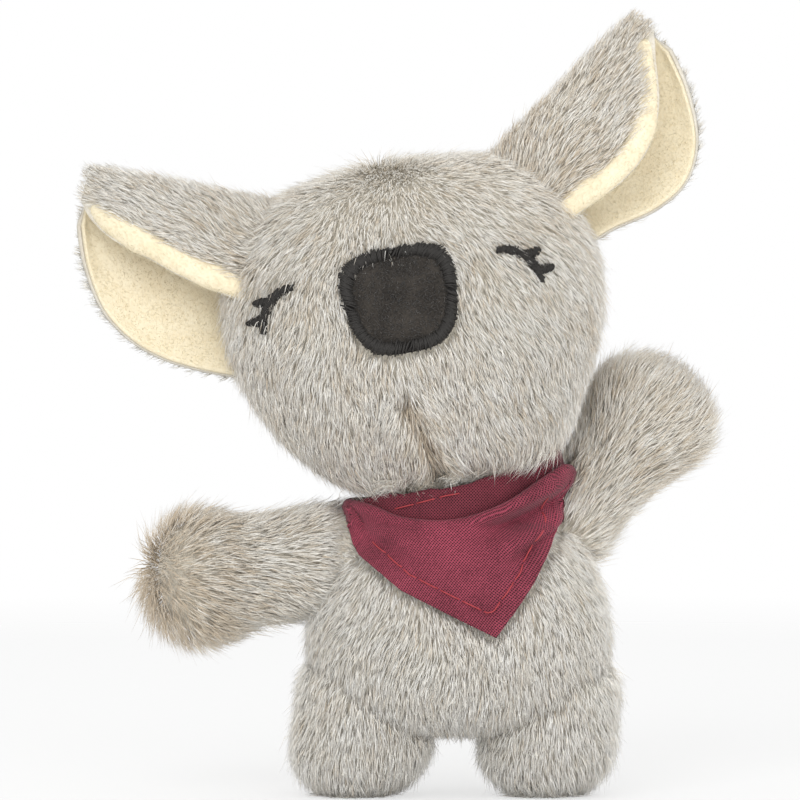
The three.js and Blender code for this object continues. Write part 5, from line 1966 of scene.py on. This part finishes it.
@dataclass(frozen=True)
class LimbNap:
    """Nap of a limb: down a leg, out along the raised arm and in from the tip of the lowered one.

    Attributes:
        limb: The limb's form.
        shade: Change of tone; on the legs it is painted light that makes up for the shade of the body above.
        loss: Share of the length lost where the body or the neckerchief covers the limb.
    """

    limb: LimbForm
    shade: float
    loss: float = 0.45

    def covered(self, points: Points) -> np.ndarray:
        """True where the body or the neckerchief lies over the limb."""
        side = np.abs(points[:, 0] - TORSO.centre[0]) < 18.5
        laid = (points[:, 1] < self.limb.root[1]) & (NECKERCHIEF.covers(points) > 0.3)
        return (side & laid) | TORSO.inside(points, -1.0)

    def __call__(self, points: Points) -> Nap:
        """The nap at places on the limb."""
        covered = self.covered(points)
        combs = 0.4 * combed(Flow.FROM, points, self.limb.root) + np.array(self.limb.along)
        return Nap(combs, self.shade, covered * 1.0, 1 - self.loss * covered)

    def keep(self, points: Points) -> np.ndarray:
        """Places of the limb that its swing can bring out of the body."""
        return ~TORSO.inside(points, -self.limb.fur_depth) & ~HEAD.inside(points, -4.0)


@dataclass(frozen=True)
class LegNap(LimbNap):
    """Nap of a leg: down, and a little outward."""

    def __call__(self, points: Points) -> Nap:
        """The nap at places on the leg."""
        out = points - np.array([*self.limb.root[:2], 0])
        out[:, 2] = 0
        covered = TORSO.inside(points, -1.0)
        combs = np.array([0, 0, -1.0]) + 0.25 * unit(out)
        return Nap(combs, self.shade, covered * 1.0, 1 - self.loss * covered)


@dataclass(frozen=True)
class LowArmNap(LimbNap):
    """Nap of the lowered arm: away from its tip, which is darker and where the fur stands up.

    Attributes:
        cloth_edge: How far from the body's middle the neckerchief presses the arm's fur.
        cloth_level: Height above which it does.
    """

    cloth_edge: float = 18.2
    cloth_level: float = 36.0

    def __call__(self, points: Points) -> Nap:
        """The nap at places on the arm."""
        limb = self.limb
        far = np.linalg.norm(points - limb.tip, axis=1)
        tip = bell(far, 12)
        gap = TORSO.centre[0] - self.cloth_edge - points[:, 0]
        cloth = (points[:, 1] < limb.root[1]) & (points[:, 2] > self.cloth_level)
        press = np.maximum(np.clip(1.3 - gap / 5, 0, 1) * cloth, self.covered(points)) - 0.8 * tip**2
        away = np.clip(far[:, None] / 6 - 0.3, 0, 1)
        combs = combed(Flow.FROM, points, limb.tip) * away + np.array([0.3, 0.15, -0.4])
        return Nap(combs, self.shade - 0.8 * tip, press, 1 - self.loss * np.maximum(press, 0))


def dressed_parts() -> list[StuffedPiece]:
    """The stuffed parts, in the order they are made."""
    forms = {"head": HEAD, "torso": TORSO, "neck": Neck(), **LIMBS}
    styles = {"head": PileStyle(length=4.1), "torso": PileStyle(), "neck": PileStyle(length=3.0, spacing=0.5)}
    naps = {
        "head": HeadNap(),
        "torso": TorsoNap(),
        "neck": NeckNap(),
        "arm_left": LimbNap(LIMBS["arm_left"], -0.11),
        "arm_right": LowArmNap(LIMBS["arm_right"], -0.03),
        # The legs' 0.15 is painted light, making up for the shade of the body above them.
        "leg_left": LegNap(LIMBS["leg_left"], 0.15),
        "leg_right": LegNap(LIMBS["leg_right"], 0.15),
    }
    seeds = dict(zip(forms, (101, 103, 107, 109, 110, 111, 112)))
    return [
        StuffedPiece(
            name, form.shell, styles.get(name) or PileStyle(length=form.fur_length), naps[name],
            SEED + seeds[name],
        )
        for name, form in forms.items()
    ]


def main() -> None:
    """Builds the toy and its studio."""
    logging.basicConfig(level=logging.INFO, format="%(message)s")
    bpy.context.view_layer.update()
    bpy.context.scene.view_settings.view_transform = "Standard"
    Studio().build()
    for part in dressed_parts():
        part.build()
    for side in Side:
        Ear(side).build()
        Eye(side).build()
    Nose().build()
    NECKERCHIEF.build()


if __name__ == "__main__":
    main()
